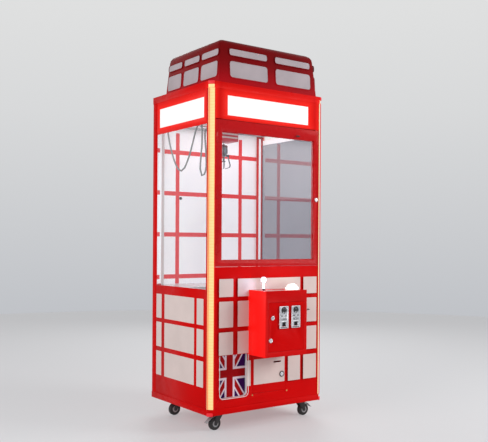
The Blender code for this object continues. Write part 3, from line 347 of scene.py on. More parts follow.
def put(node, **values):
    """Sets a node's inputs to plain values, with _ for each space in an input's name."""
    for title, value in values.items():
        node.inputs[title.replace("_", " ")].default_value = value


def calc(tree, operation, first, second=0.0, clamp=False):
    """The result of a Math node."""
    made = add(tree, "ShaderNodeMath", operation=operation, use_clamp=clamp)
    feed(tree, first, made.inputs[0])
    feed(tree, second, made.inputs[1])
    return made.outputs[0]


def vector_calc(tree, operation, first, second=(0, 0, 0), result="Vector"):
    """The result of a Vector Math node."""
    made = add(tree, "ShaderNodeVectorMath", operation=operation)
    feed(tree, first, made.inputs[0])
    feed(tree, second, made.inputs[1])
    return made.outputs[result]


def blend_colours(tree, share, first, second):
    """The first colour where the share is 0 and the second where it is 1."""
    made = add(tree, "ShaderNodeMix", data_type="RGBA")
    feed(tree, share, made.inputs["Factor"])
    feed(tree, first, made.inputs[6])
    feed(tree, second, made.inputs[7])
    return made.outputs[2]


def ramp(tree, value, lowest, highest, first=0.0, last=1.0):
    """A value mapped from one range to another and held at its ends."""
    made = add(tree, "ShaderNodeMapRange")
    for place, number in enumerate((value, lowest, highest, first, last)):
        feed(tree, number, made.inputs[place])
    return made.outputs[0]


def noise(tree, place, scale, detail=2.0):
    """A cloudy value."""
    made = add(tree, "ShaderNodeTexNoise")
    feed(tree, place, made.inputs["Vector"])
    feed(tree, scale, made.inputs["Scale"])
    made.inputs["Detail"].default_value = detail
    return made.outputs[0]


def object_place(tree):
    """The point on the object."""
    return add(tree, "ShaderNodeTexCoord").outputs["Object"]


def object_axes(tree):
    """The X, Y and Z of the point on the object."""
    made = add(tree, "ShaderNodeSeparateXYZ")
    feed(tree, object_place(tree), made.inputs[0])
    return made.outputs


def mix_shaders(tree, share, first, second):
    """The output of a Mix Shader node."""
    made = add(tree, "ShaderNodeMixShader")
    for place, source in enumerate((share, first, second)):
        feed(tree, source, made.inputs[place])
    return made.outputs[0]


def opaque(colour):
    return (*colour, 1.0)


def new_group(name, inputs, outputs):
    """An empty group with named inputs and outputs."""
    tree = bpy.data.node_groups.new(name, "ShaderNodeTree")
    for title, kind, default in inputs:
        made = tree.interface.new_socket(name=title, in_out="INPUT", socket_type=kind)
        made.default_value = default
    for title, kind in outputs:
        tree.interface.new_socket(name=title, in_out="OUTPUT", socket_type=kind)
    return tree, tree.nodes.new("NodeGroupInput").outputs, tree.nodes.new("NodeGroupOutput").inputs


def worn_finish_group():
    """Cloudy colour, smudged roughness and a fine surface height, for every finish."""
    name = "Worn finish"
    if name in bpy.data.node_groups:
        return bpy.data.node_groups[name]
    number = "NodeSocketFloat"
    tree, given, made = new_group(
        name,
        [("Colour", "NodeSocketColor", (1, 1, 1, 1)), ("Roughness", number, 0.4), ("Mottle", number, 0.06),
         ("Mottle Scale", number, 4.0), ("Grain Scale", number, 300.0), ("Smudge", number, 0.2),
         ("Stretch", "NodeSocketVector", (1, 1, 1))],
        [("Colour", "NodeSocketColor"), ("Roughness", number), ("Height", number)],
    )
    place = vector_calc(tree, "MULTIPLY", object_place(tree), given["Stretch"])
    clouds = noise(tree, place, given["Mottle Scale"], 4.0)
    least = calc(tree, "SUBTRACT", 1.0, given["Mottle"])
    most = calc(tree, "ADD", 1.0, given["Mottle"])
    share = ramp(tree, clouds, 0.3, 0.7, least, most)
    scaled = add(tree, "ShaderNodeVectorMath", operation="SCALE")
    feed(tree, given["Colour"], scaled.inputs[0])
    feed(tree, share, scaled.inputs["Scale"])
    feed(tree, scaled.outputs[0], made["Colour"])
    marks = noise(tree, place, 17.0, 5.0)
    dull = calc(tree, "MULTIPLY", given["Roughness"], calc(tree, "ADD", 1.0, given["Smudge"]))
    clean = calc(tree, "MULTIPLY", given["Roughness"], calc(tree, "SUBTRACT", 1.0, given["Smudge"]))
    feed(tree, ramp(tree, marks, 0.35, 0.65, clean, dull), made["Roughness"])
    feed(tree, noise(tree, place, given["Grain Scale"], 3.0), made["Height"])
    return tree


def box_glow_group():
    """1 inside a box, falling to 0 at a reach from it."""
    name = "Box glow"
    if name in bpy.data.node_groups:
        return bpy.data.node_groups[name]
    vector = "NodeSocketVector"
    tree, given, made = new_group(
        name,
        [("Centre", vector, (0, 0, 0)), ("Half Size", vector, (1, 1, 1)), ("Reach", "NodeSocketFloat", 0.1)],
        [("Glow", "NodeSocketFloat")],
    )
    away = vector_calc(tree, "SUBTRACT", object_place(tree), given["Centre"])
    away = vector_calc(tree, "ABSOLUTE", away)
    outside = vector_calc(tree, "SUBTRACT", away, given["Half Size"])
    outside = vector_calc(tree, "MAXIMUM", outside, (0, 0, 0))
    distance = vector_calc(tree, "LENGTH", outside, result="Value")
    near = ramp(tree, calc(tree, "DIVIDE", distance, given["Reach"]), 0.0, 1.0, 1.0, 0.0)
    feed(tree, calc(tree, "MULTIPLY", near, near), made["Glow"])
    return tree


def group_node(tree, group, **values):
    """A placed group with its inputs set."""
    made = add(tree, "ShaderNodeGroup", node_tree=group)
    for title, value in values.items():
        feed(tree, value, made.inputs[title.replace("_", " ")])
    return made


def glow_near(tree, lowest, highest, reach):
    """How near a point is to a box, from 0 to 1."""
    lowest, highest = Vector(lowest), Vector(highest)
    centre, half = (lowest + highest) / 2, (highest - lowest) / 2
    return group_node(tree, box_glow_group(), Centre=centre, Half_Size=half, Reach=reach).outputs[0]


def light_over(material, share, colour, strength):
    """Lets a surface shine with a colour where the share is 1, and not at all where it is 0."""
    light_up(material, blend_colours(material.node_tree, share, (0, 0, 0, 1), colour), strength)


def finish(name, colour, roughness=0.4, metallic=0.0, coat=0.0, mottle=0.05, mottle_scale=4.0, grain=300.0,
           bump=0.00003, smudge=0.2, stretch=(1, 1, 1), **sockets):
    """A worn finish. Further values go on the shader's own sockets."""
    material = bpy.data.materials.new(name)
    material.use_nodes = True
    tree = material.node_tree
    shader = tree.nodes["Principled BSDF"]
    worn = group_node(
        tree, worn_finish_group(), Colour=opaque(colour), Roughness=roughness, Mottle=mottle,
        Mottle_Scale=mottle_scale, Grain_Scale=grain, Smudge=smudge, Stretch=stretch,
    )
    feed(tree, worn.outputs["Colour"], shader.inputs["Base Color"])
    feed(tree, worn.outputs["Roughness"], shader.inputs["Roughness"])
    if bump:
        relief = add(tree, "ShaderNodeBump")
        put(relief, Strength=0.6, Distance=bump)
        feed(tree, worn.outputs["Height"], relief.inputs["Height"])
        feed(tree, relief.outputs[0], shader.inputs["Normal"])
    put(shader, Metallic=metallic, Coat_Weight=coat, Coat_Roughness=0.06, **sockets)
    material.diffuse_color = opaque(colour)
    return material


def shader_of(material):
    return material.node_tree.nodes["Principled BSDF"]


def light_up(material, colour_output, strength):
    """Lets a surface shine with a colour that varies over it."""
    shader = shader_of(material)
    feed(material.node_tree, colour_output, shader.inputs["Emission Color"])
    put(shader, Emission_Strength=strength)


def glass(name, tint, bending=1.45):
    """A clear sheet that lets lamps through, with faint smears."""
    material = finish(name, tint, roughness=0.02, mottle=0.02, smudge=0.5, bump=0.0)
    tree = material.node_tree
    shader = shader_of(material)
    put(shader, Transmission_Weight=1.0, IOR=bending)
    path = add(tree, "ShaderNodeLightPath")
    through = add(tree, "ShaderNodeBsdfTransparent")
    put(through, Color=opaque([1.0 - (1.0 - c) * 0.5 for c in tint]))
    rays = calc(tree, "MAXIMUM", path.outputs["Is Shadow Ray"], path.outputs["Is Diffuse Ray"])
    mixed = mix_shaders(tree, rays, shader.outputs[0], through.outputs[0])
    feed(tree, mixed, tree.nodes["Material Output"].inputs["Surface"])
    return material


def header_paint(name, colour):
    """Cabinet paint with the light of the signs and strips spilling over it."""
    material = finish(name, colour, roughness=0.34, mottle=0.05, Specular_IOR_Level=0.06)
    tree = material.node_tree
    near = None
    for node, reach in (("sign_front", 0.095), ("sign_left", 0.075), ("sign_right", 0.075),
                        ("led_strip_left", 0.07), ("led_strip_right", 0.07)):
        glow = glow_near(tree, *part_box(node), reach)
        near = glow if near is None else calc(tree, "MAXIMUM", near, glow)
    light_over(material, near, (1.0, 0.05, 0.03, 1), 0.40)
    return material


def dome_paint(name, colour):
    """Dark roof paint with a painted red glow along its foot, standing in for the light of the lit header.
    """
    material = finish(name, colour, roughness=0.34, mottle=0.16, mottle_scale=7.0, Specular_IOR_Level=0.06)
    lo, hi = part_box("header_box")
    # Painted glow: the dome's foot shines red near the top of the header.
    glow = glow_near(material.node_tree, (lo.x, lo.y, hi.z - 0.05), hi, 0.24)
    light_over(material, glow, (1.0, 0.012, 0.03, 1), 0.22)
    return material


def box_paint(name, colour):
    """Control box paint, lit on its left face by the corner strip beside it."""
    material = finish(name, colour, roughness=0.42, mottle=0.05, Specular_IOR_Level=0.10)
    lo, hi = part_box("control_box")
    tree = material.node_tree
    glow = glow_near(tree, (lo.x, lo.y + 0.004, lo.z), (lo.x + 0.001, hi.y, hi.z - 0.001), 0.012)
    light_over(material, glow, (1.0, 0.014, 0.01, 1), 0.50)
    height = object_axes(tree)["Z"]
    top = hi.z - BEZEL_HEIGHT
    glossy = ramp(tree, height, top - 0.0010, top - 0.0004, 0.0, 1.0)
    feed(tree, glossy, shader_of(material).inputs["Coat Weight"])
    return material


def sign_glass(name):
    """Lit white acrylic, a little brighter along its tubes."""
    material = finish(name, (0.60, 0.60, 0.59), roughness=0.25, mottle=0.02, coat=0.2)
    tree = material.node_tree
    height = object_axes(tree)["Z"]
    tube = calc(tree, "SINE", ramp(tree, height, low("sign_front").z, high("sign_front").z, 0.0, math.pi))
    lit = blend_colours(tree, tube, (0.80, 0.79, 0.76, 1), (1.0, 0.99, 0.96, 1))
    light_up(material, lit, 0.55)
    return material


LAMP_SPACING = 0.0167


def strip_light(name):
    """A warm diffuser with its lamps showing as soft spots."""
    material = finish(name, (0.45, 0.33, 0.14), roughness=0.3, mottle=0.03, coat=0.2)
    tree = material.node_tree
    height = object_axes(tree)["Z"]
    wave = calc(tree, "SINE", calc(tree, "MULTIPLY", height, 2.0 * math.pi / LAMP_SPACING))
    spots = ramp(tree, wave, -1.0, 1.0)
    lit = blend_colours(tree, spots, (0.93, 0.62, 0.22, 1), (1.0, 0.72, 0.31, 1))
    light_up(material, lit, 0.68)
    return material


def lit_plastic(name, colour, strength):
    """Translucent plastic lit from inside, in brighter and dimmer cloudy patches."""
    material = finish(name, colour, roughness=0.18, mottle=0.04, coat=0.6)
    tree = material.node_tree
    dim = opaque([c * 0.55 for c in colour])
    clouds = noise(tree, object_place(tree), 60.0, 2.0)
    lit = blend_colours(tree, ramp(tree, clouds, 0.3, 0.7, 0.6, 1.0), dim, opaque(colour))
    light_up(material, lit, strength)
    return material


def flap_print(name):
    """Crossed bars and triangles, printed on the prize flap."""
    material = finish(name, (0.5, 0.5, 0.5), roughness=0.40, mottle=0.05, Specular_IOR_Level=0.05)
    tree = material.node_tree
    sizes = bpy.context.scene.crane_flap
    place = object_axes(tree)
    across = calc(tree, "SUBTRACT", place["X"], sizes.middle_x)
    up = calc(tree, "SUBTRACT", place["Z"], sizes.middle_z)
    steep = sizes.slope
    length = math.hypot(1.0, steep)

    def along(value, half, soft=0.0007):
        return ramp(tree, calc(tree, "ABSOLUTE", value), half - soft, half + soft, 1.0, 0.0)

    def slanted(way):
        line = calc(tree, "SUBTRACT", up, calc(tree, "MULTIPLY", across, way * steep))
        return calc(tree, "DIVIDE", line, length)

    white, red = opaque(sizes.white), opaque(sizes.red)
    colour = opaque(sizes.navy)
    for half, tone in ((sizes.diagonal_white, white), (sizes.diagonal_red, red)):
        for way in (1, -1):
            colour = blend_colours(tree, along(slanted(way), half), colour, tone)
    for edging, tone in ((sizes.edging, white), (0.0, red)):
        for value, bar in ((across, sizes.upright), (up, sizes.crossbar)):
            colour = blend_colours(tree, along(value, bar + edging), colour, tone)
    worn = next(n for n in tree.nodes if n.type == "GROUP")
    feed(tree, colour, worn.inputs["Colour"])
    return material


def cloudy_light(material, scale, first, second, strength):
    """Lights a finish evenly, in two colours that change over like clouds."""
    tree = material.node_tree
    cloudy = ramp(tree, noise(tree, object_place(tree), scale), 0.3, 0.7)
    light_up(material, blend_colours(tree, cloudy, first, second), strength)


MATERIALS = {}


def make_materials():
    """Every finish of the machine, made once."""
    paint = bpy.context.scene.crane_finishes
    red = tuple(paint.cabinet_red)
    made = MATERIALS
    made["cabinet"] = finish("Cabinet red", red, roughness=0.38, mottle=0.06, grain=260.0,
        Specular_IOR_Level=0.05)
    made["header"] = header_paint("Header red", red)
    made["door"] = finish("Door frame red", tuple(paint.door_red), roughness=0.28, coat=0.12, mottle=0.08,
        Specular_IOR_Level=0.15)
    made["dome"] = dome_paint("Dome red", tuple(paint.dome_red))
    made["pane"] = finish("Dome pane", tuple(paint.pane), roughness=0.42, mottle=0.07, mottle_scale=9.0,
        Specular_IOR_Level=0.25)
    made["cell"] = finish("Panel cell", tuple(paint.cell), roughness=0.46, mottle=0.05, mottle_scale=6.0)
    made["lining"] = finish("White lining", tuple(paint.lining), roughness=0.4, mottle=0.02)
    # The lining shines with a painted, cloudy glow that stands in for the light inside the machine.
    cloudy_light(made["lining"], 2.0, (0.93, 0.92, 1.0, 1), (1.0, 0.98, 1.0, 1), 0.30)
    made["box"] = box_paint("Control box red", red)
    made["deck"] = finish("White deck", (0.80, 0.78, 0.80), roughness=0.3, mottle=0.04, coat=0.3)
    made["line"] = finish("Red line", (0.72, 0.022, 0.030), roughness=0.4, mottle=0.06,
        Specular_IOR_Level=0.2)
    # The red lines on the lining shine with a painted, cloudy red glow.
    cloudy_light(made["line"], 3.0, (1.0, 0.03, 0.05, 1), (1.0, 0.09, 0.11, 1), 0.20)
    made["rim"] = finish("White edging", (0.82, 0.80, 0.80), roughness=0.35, mottle=0.03)
    made["chrome"] = finish("Chrome", (0.80, 0.80, 0.83), roughness=0.12, metallic=1.0, mottle=0.05,
        smudge=0.4, grain=120.0, bump=0.00001)
    made["zinc"] = finish("Zinc plate", (0.55, 0.56, 0.58), roughness=0.34, metallic=1.0, mottle=0.12,
        mottle_scale=40.0, bump=0.00002)
    made["steel"] = finish("Claw steel", (0.30, 0.31, 0.35), roughness=0.22, metallic=1.0, mottle=0.15,
        mottle_scale=30.0, bump=0.00001)
    made["brass"] = finish("Brass screw", (0.72, 0.50, 0.20), roughness=0.3, metallic=1.0, mottle=0.1,
        grain=500.0)
    made["black"] = finish("Black steel", (0.018, 0.017, 0.018), roughness=0.42, mottle=0.15,
        mottle_scale=20.0)
    # A near-black finish laid on keyholes and grooves as painted shade in their hollows.
    made["painted_shade"] = finish("Painted recess shade", (0.006, 0.005, 0.006), roughness=0.7, mottle=0.2)
    made["rubber"] = finish("Black rubber", (0.022, 0.021, 0.021), roughness=0.68, mottle=0.2,
        mottle_scale=30.0, grain=700.0, bump=0.00008)
    made["pedal"] = finish("Grey pedal", (0.30, 0.30, 0.31), roughness=0.45, mottle=0.1, mottle_scale=40.0)
    made["cable"] = finish("Grey cable", (0.24, 0.25, 0.25), roughness=0.42, mottle=0.1, mottle_scale=60.0)
    made["string"] = finish("String", (0.20, 0.20, 0.21), roughness=0.7, mottle=0.25, mottle_scale=900.0,
        stretch=(1, 1, 4), bump=0.0001)
    made["trolley"] = finish("Trolley case", (0.66, 0.05, 0.09), roughness=0.4, mottle=0.06,
        mottle_scale=20.0)
    made["sign"] = sign_glass("Lit sign")
    made["strip"] = strip_light("Corner light")
    made["ball"] = lit_plastic("Lit ball", (0.78, 0.87, 1.0), 0.8)
    made["dome_button"] = lit_plastic("Lit button", (0.98, 0.97, 0.93), 0.85)
    made["glass"] = glass("Clear glass", (0.93, 0.96, 0.96))
    made["side_glass"] = glass("Grey glass", tuple(paint.grey_glass), paint.grey_glass_bending)
    made["flap"] = flap_print("Flap print")


# ---- settings ----
def colour_setting(name, description, default):
    return bpy.props.FloatVectorProperty(
        name=name, description=description, default=default, subtype="COLOR", min=0.0, max=1.0)


def length_setting(name, description, default):
    return bpy.props.FloatProperty(name=name, description=description, default=default, unit="LENGTH")


class CraneFinishes(bpy.types.PropertyGroup):
    """Colours of the machine."""
    cabinet_red: colour_setting("Cabinet", "Colour of the cabinet's paint", (0.60, 0.002, 0.0022))
    door_red: colour_setting("Door frame", "Colour of the front door's frame", (0.50, 0.003, 0.005))
    dome_red: colour_setting("Dome", "Colour of the roof dome", (0.16, 0.002, 0.003))
    pane: colour_setting("Dome panes", "Colour of the panes in the dome", (0.42, 0.36, 0.38))
    cell: colour_setting("Panel cells", "Colour of the pale cells on the lower panels", (0.69, 0.57, 0.535))
    lining: colour_setting("Lining", "Colour of the inside of the back wall", (0.86, 0.86, 0.89))
    grey_glass: colour_setting("Grey glass", "Tint of the right window", (0.27, 0.26, 0.32))
    grey_glass_bending: bpy.props.FloatProperty(
        name="Grey glass shine", description="Refractive index of the right window", default=2.6,
        subtype="FACTOR", min=1.0, max=3.0)


class CranePanels(bpy.types.PropertyGroup):
    """Sizes of the printed cells and of the lines on the lining."""
    vinyl: length_setting("Cell thickness", "Thickness of a pale cell", 0.0005)
    corner: length_setting("Cell corner", "Corner radius of a pale cell", 0.003)
    pane_corner: length_setting("Pane corner", "Corner radius of a pane in the dome", 0.016)
    pane_proud: length_setting("Pane edging", "Height of the rim round a pane", 0.0022)
    line_width: length_setting("Line width", "Width of a red line on the lining", 0.0275)


class CraneFlap(bpy.types.PropertyGroup):
    """The print on the prize flap."""
    middle_x: length_setting("Middle across", "Middle of the upright bar", -0.261)
    middle_z: length_setting("Middle up", "Middle of the crossbar", 0.3245)
    upright: length_setting("Upright bar", "Half the upright bar's width", 0.022)
    crossbar: length_setting("Crossbar", "Half the crossbar's width", 0.0225)
    edging: length_setting("Edging", "White edging of the bars", 0.0125)
    diagonal_white: length_setting("Diagonal edging", "Half the white diagonals' width", 0.021)
    diagonal_red: length_setting("Diagonal", "Half the red diagonals' width", 0.0125)
    slope: bpy.props.FloatProperty(
        name="Slope", description="Rise of a diagonal for its run", default=1.55, subtype="FACTOR")
    red: colour_setting("Red", "Colour of the red bars", (0.38, 0.003, 0.006))
    white: colour_setting("White", "Colour of the white edging", (0.82, 0.70, 0.78))
    navy: colour_setting("Navy", "Colour of the triangles", (0.040, 0.003, 0.085))


class CraneStage(bpy.types.PropertyGroup):
    """Floor, backdrop, lamps and camera."""
    lens: bpy.props.FloatProperty(
        name="Lens", description="Focal length of the camera", default=54.61, unit="CAMERA")
    camera_place: bpy.props.FloatVectorProperty(
        name="Camera", description="Where the camera stands", default=(-2.672, -3.711, 1.074),
        subtype="TRANSLATION")
    turn: bpy.props.FloatProperty(
        name="Turn", description="The camera's turn about the vertical", default=math.radians(-35.67),
        subtype="ANGLE")
    roll: bpy.props.FloatProperty(
        name="Roll", description="The camera's roll", default=math.radians(-0.33), subtype="ANGLE")
    shift: bpy.props.FloatProperty(
        name="Shift", description="Upward shift of the view", default=0.0445, subtype="FACTOR")
    backdrop: colour_setting("Backdrop", "Colour behind the machine", (0.74, 0.745, 0.745))
    backdrop_low: colour_setting(
        "Backdrop foot", "Colour behind the machine near the floor", (0.53, 0.545, 0.575))
    floor_tone: colour_setting("Floor", "Colour of the floor", (0.69, 0.69, 0.705))
    floor_radius: length_setting("Floor radius", "Radius of the round floor", 7.3)


# ---- cabinet ----
class CRANE_OT_cabinet(bpy.types.Operator):
    """Paints the cabinet's panels, posts, base and header"""
    bl_idname = "crane.cabinet"
    bl_label = "Cabinet"

    def execute(self, context):
        make_materials()
        for node in ("front_panel", "side_panel_left", "side_panel_right", "rear_shell"):
            refine(node, "cabinet", soft=0.0006)
        for node in ("corner_post_left", "corner_post_right", "base_frame"):
            refine(node, "cabinet", soft=0.0008)
        refine("control_box", "box", soft=0.0008)
        refine("header_box", "header", soft=0.0010)
        refine("back_wall", "lining")
        refine("play_deck", "deck", soft=0.0008)
        refine("prize_chute", "deck")
        refine("cash_box", "zinc", soft=0.0008)
        refine("power_supply", "black", soft=0.0008)
        return {"FINISHED"}


FRONT_COLUMNS = ((-0.357, -0.261), (-0.229, 0.235), (0.261, 0.366))
FRONT_ROWS = ((0.766, 0.868), (0.5925, 0.740))
FRONT_THIRD_ROWS = ((0.437, 0.566), (0.437, 0.566), (0.424, 0.566))
FRONT_LOW_ROW = (0.245, 0.393)
FRONT_LOW_COLUMNS = ((-0.164, -0.1355), (0.1428, 0.237), (0.262, 0.365))
SIDE_COLUMNS = ((0.303, 0.367), (-0.078, 0.266), (-0.177, -0.106))
SIDE_ROWS = ((0.605, 0.754), (0.428, 0.580), (0.251, 0.400))
SERVICE_CELL = (-0.1066, 0.1225)
FINGER_SLOT = (0.0650, 0.1720)
LOCK_RADIUS = 0.0125


def opening_box(name):
    """The two corners of an opening in the machine's record."""
    for entry in frame["record"]["physics"]["openings"]:
        if entry["name"] == name:
            return Vector(entry["box_m"][0]), Vector(entry["box_m"][1])
    raise KeyError(name)


class CRANE_OT_cells(bpy.types.Operator):
    """Lays the pale cells on the lower panels"""
    bl_idname = "crane.cells"
    bl_label = "Panel cells"

    def execute(self, context):
        sizes = context.scene.crane_panels
        thick, corner = sizes.vinyl, sizes.corner
        cells = [(c, r) for r in FRONT_ROWS[:2] for c in FRONT_COLUMNS]
        cells += list(zip(FRONT_COLUMNS, FRONT_THIRD_ROWS))
        cells += [(c, FRONT_LOW_ROW) for c in FRONT_LOW_COLUMNS]
        parts = [plate((c[0], FRONT - thick, r[0]), (c[1], FRONT, r[1]), Y, corner) for c, r in cells]
        lo, hi = opening_box("cable_hatch")
        for number in (4, 7):
            window = plate((lo.x - 0.004, FRONT - 0.01, lo.z - 0.005),
                           (hi.x + 0.004, FRONT + 0.01, hi.z + 0.005), Y)
            parts[number] = hollow(parts[number], window)
        fit("front_cells", parts, "cell", "cabinet")
        for side, edge, way in (("left", LEFT, -1), ("right", RIGHT, 1)):
            ends = sorted((edge, edge + way * thick))
            parts = [plate((ends[0], c[0], r[0]), (ends[1], c[1], r[1]), X, corner)
                     for r in SIDE_ROWS for c in SIDE_COLUMNS]
            fit(side + "_cells", parts, "cell", "cabinet")
        door = low("service_door").y
        part = plate((SERVICE_CELL[0], door - thick, FRONT_LOW_ROW[0]),
                     (SERVICE_CELL[1], door, FRONT_LOW_ROW[1]), Y, corner)
        x, z = high("service_door").x - FINGER_SLOT[0], low("service_door").z + FINGER_SLOT[1]
        part = hollow(part, raised(x, 0.0285, door - 0.01, door + 0.01, z - 0.0045, z + 0.0045, 0.004))
        lock = (middle("service_door_lock").x, door - 0.01, high("service_door_lock").z - LOCK_RADIUS)
        part = hollow(part, turned(lock, ((0.0135, 0), (0.0135, -0.02)), "-Y", 32))
        fit("service_cell", [part], "cell", "service_door")
        return {"FINISHED"}


LINING_UPRIGHTS = (-0.248, 0.240)
LINING_BARS = (1.650, 1.386, 1.124, 0.856)


def column_liners(half):
    """White liners on the rear columns, with the ends of the red lines, and liners under the side signs. The
    right liner, a narrow white band on the red column, is a painted highlight.
    """
    front = high("window_left").y + 0.0003
    lo, hi = low("play_deck").z + 0.02, low("gantry_frame").z - 0.012
    inner = high("back_wall").x + 0.0018
    left = plate((LEFT + 0.0045, front - 0.0006, lo), (-inner, front, hi), Y)
    # The right liner's white band is a painted highlight on the red column.
    right = plate((inner, front - 0.0006, lo), (inner + 0.018, front, hi), Y)
    parts = [left, right]
    for side, node in ((-1, "sign_left"), (1, "sign_right")):
        ends = sorted((side * (RIGHT - 0.0042), side * (RIGHT - 0.0034)))
        parts.append(plate((ends[0], low("window_left").y, high("window_left").z + 0.001),
                           (ends[1], front - 0.003, low(node).z - 0.001), X))
    fit("column_liners", parts, "lining", "cabinet")
    stubs = [plate((LEFT + 0.0048, front - 0.0010, z - half), (LEFT + 0.0250, front - 0.0005, z + half), Y)
             for z in LINING_BARS]
    fit("column_lines", stubs, "line", "cabinet")


class CRANE_OT_lining(bpy.types.Operator):
    """Lays the red lines and the corner strips on the white lining"""
    bl_idname = "crane.lining"
    bl_label = "Lining"

    def execute(self, context):
        half = context.scene.crane_panels.line_width / 2
        lo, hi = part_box("back_wall")
        face, thick = lo.y, 0.0006
        parts = [raised(x, half, face - thick, face, lo.z + 0.002, hi.z - 0.12) for x in LINING_UPRIGHTS]
        parts += [plate((lo.x + 0.03, face - 0.8 * thick, z - half), (hi.x - 0.001, face, z + half), Y)
                  for z in LINING_BARS]
        fit("lining_lines", parts, "line", "cabinet")
        strip = plate((-0.374, face - 0.004, lo.z + 0.001), (-0.346, face - 0.0003, 1.76), Z, 0.0015)
        fit("lining_strip", [strip], "rim", "cabinet")
        column_liners(half)
        place = Vector((-0.225, face - 0.0003, 1.357))
        lock = turned(place, LINING_LOCK_STEPS, "-Y", 24, 0.0004)
        fit("lining_lock", [lock], "black", "cabinet")
        return {"FINISHED"}


DOME_FRONT_COLUMNS = ((-0.285, -0.015), (0.045, 0.315))
DOME_FRONT_ROWS = ((2.144, 2.182), (2.017, 2.110))
DOME_SIDE_COLUMNS = ((-0.224, -0.050), (-0.024, 0.144), (0.173, 0.331))
DOME_SIDE_ROWS = ((2.137, 2.174), (2.015, 2.105))
DOME_TAPER = 0.018


class CRANE_OT_dome(bpy.types.Operator):
    """Smooths the roof dome and sets its rimmed panes"""
    bl_idname = "crane.dome"
    bl_label = "Roof dome"

    def lean(self, part, axis, way):
        """Leans a part against the dome's sloping wall."""
        lo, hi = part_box("roof_dome")
        for point in part.data.vertices:
            point.co[axis] -= way * DOME_TAPER * (point.co.z - lo.z) / (hi.z - lo.z)

    def execute(self, context):
        sizes = context.scene.crane_panels
        refine("roof_dome", "dome", angle=50)
        lo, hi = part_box("roof_dome")
        ends, sides = (DOME_FRONT_COLUMNS, DOME_FRONT_ROWS), (DOME_SIDE_COLUMNS, DOME_SIDE_ROWS)
        walls = ((Y, -1, lo.y, *ends), (Y, 1, hi.y, *ends), (X, -1, lo.x, *sides), (X, 1, hi.x, *sides))
        panes, rims = [], []
        for axis, way, face, columns, rows in walls:
            for row in rows:
                for column in columns:
                    radius = min(sizes.pane_corner, 0.35 * (row[1] - row[0]))
                    for proud, grow, made in ((0.0008, 0.0, panes), (sizes.pane_proud, 0.004, rims)):
                        first = [0, 0, row[0] - grow]
                        last = [0, 0, row[1] + grow]
                        across = 1 - axis
                        first[axis], last[axis] = sorted((face, face + way * proud))
                        first[across], last[across] = column[0] - grow, column[1] + grow
                        if grow:
                            part = border(first, last, axis, grow, radius + grow)
                        else:
                            part = plate(first, last, axis, radius)
                        self.lean(part, axis, way)
                        made.append(part)
        fit("dome_panes", panes, "pane", "cabinet")
        fit("dome_pane_rims", rims, "dome", "cabinet")
        return {"FINISHED"}


def strip_plate(ends, way, first, last, thick, bottom, top):
    """A plate on a bevelled corner, between two shares of its width and two heights."""
    a, b = Vector(ends[0]), Vector(ends[1])
    out = Vector((way, -1.0)).normalized()
    near, far = a.lerp(b, first), a.lerp(b, last)
    places = [near, far, far + out * thick, near + out * thick]
    part = plate((-0.5, -0.5, bottom), (0.5, 0.5, top))
    order = {(-0.5, 0.5): 0, (0.5, 0.5): 1, (0.5, -0.5): 2, (-0.5, -0.5): 3}
    for point in part.data.vertices:
        place = places[order[(round(point.co.x, 1), round(point.co.y, 1))]]
        point.co.x, point.co.y = place.x, place.y
    pick_faces(part, lambda centre, normal: True)
    bpy.ops.mesh.normals_make_consistent(inside=False)
    bpy.ops.object.mode_set(mode="OBJECT")
    return part


class CRANE_OT_lights(bpy.types.Operator):
    """Lights the signs and the corner strips, with their end caps"""
    bl_idname = "crane.lights"
    bl_label = "Signs and strips"

    def execute(self, context):
        for node in ("sign_front", "sign_left", "sign_right"):
            refine(node, "sign")
        for side, way in (("left", -1), ("right", 1)):
            node = "led_strip_" + side
            refine(node, "strip")
            lo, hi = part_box(node)
            lid_lo, lid_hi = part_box("header_box")
            foot = low("base_frame").z
            proud = RIGHT - lid_hi.x
            corner = 0.026 - proud * 0.586
            lid = ((way * lid_hi.x, lid_lo.y + corner), (way * (lid_hi.x - corner), lid_lo.y))
            body = ((way * RIGHT, FRONT + 0.026), (way * (RIGHT - 0.026), FRONT))
            trims = [strip_plate(body, way, a, b, 0.0025, lo.z, hi.z)
                     for a, b in ((-0.03, 0.05), (0.95, 1.03))]
            fit("strip_trims_" + side, trims, "header", "cabinet")
            lit = strip_plate(lid, way, 0.05, 0.95, 0.0012, hi.z + 0.0006, lid_hi.z - 0.0195)
            fit("strip_ends_" + side, [lit], "strip", "cabinet")
            heights = ((lid_hi.z - 0.019, lid_hi.z - 0.0005), (foot + 0.0005, foot + 0.020))
            parts = [strip_plate(lid, way, 0.04, 0.96, 0.009, bottom, top) for bottom, top in heights]
            for part in parts:
                soften_edges(part, 0.003, 3)
            fit("strip_caps_" + side, parts, "line", "cabinet")
        return {"FINISHED"}


# ---- doors ----
class CRANE_OT_front_door(bpy.types.Operator):
    """Finishes the glazed front door, its seal and the windows"""
    bl_idname = "crane.front_door"
    bl_label = "Front door and windows"

    def execute(self, context):
        refine("front_door_frame", "door", soft=0.0012)
        refine("front_door_glass", "glass")
        refine("window_left", "glass")
        refine("window_right", "side_glass")
        lo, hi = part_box("front_door_glass")
        seal = border((lo.x - 0.001, lo.y - 0.0030, lo.z - 0.001),
                      (hi.x + 0.001, lo.y - 0.0004, hi.z + 0.001), Y, 0.0035, soft=0.0006)
        fit("door_seal", [seal], "door", "front_door")
        frame_lo, frame_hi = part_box("front_door_frame")
        badge = plate((0.197, frame_lo.y - 0.0012, 1.717), (0.223, frame_lo.y, 1.726), Y, 0.003, 0.0003)
        fit("door_badge", [badge], "black", "front_door")
        stop = plate((frame_lo.x + 0.01, frame_hi.y + 0.002, frame_hi.z - 0.006),
                     (frame_hi.x - 0.002, frame_hi.y + 0.0045, frame_hi.z + 0.014), X, 0.0, 0.0005)
        fit("door_stop", [stop], "door", "cabinet")
        return {"FINISHED"}


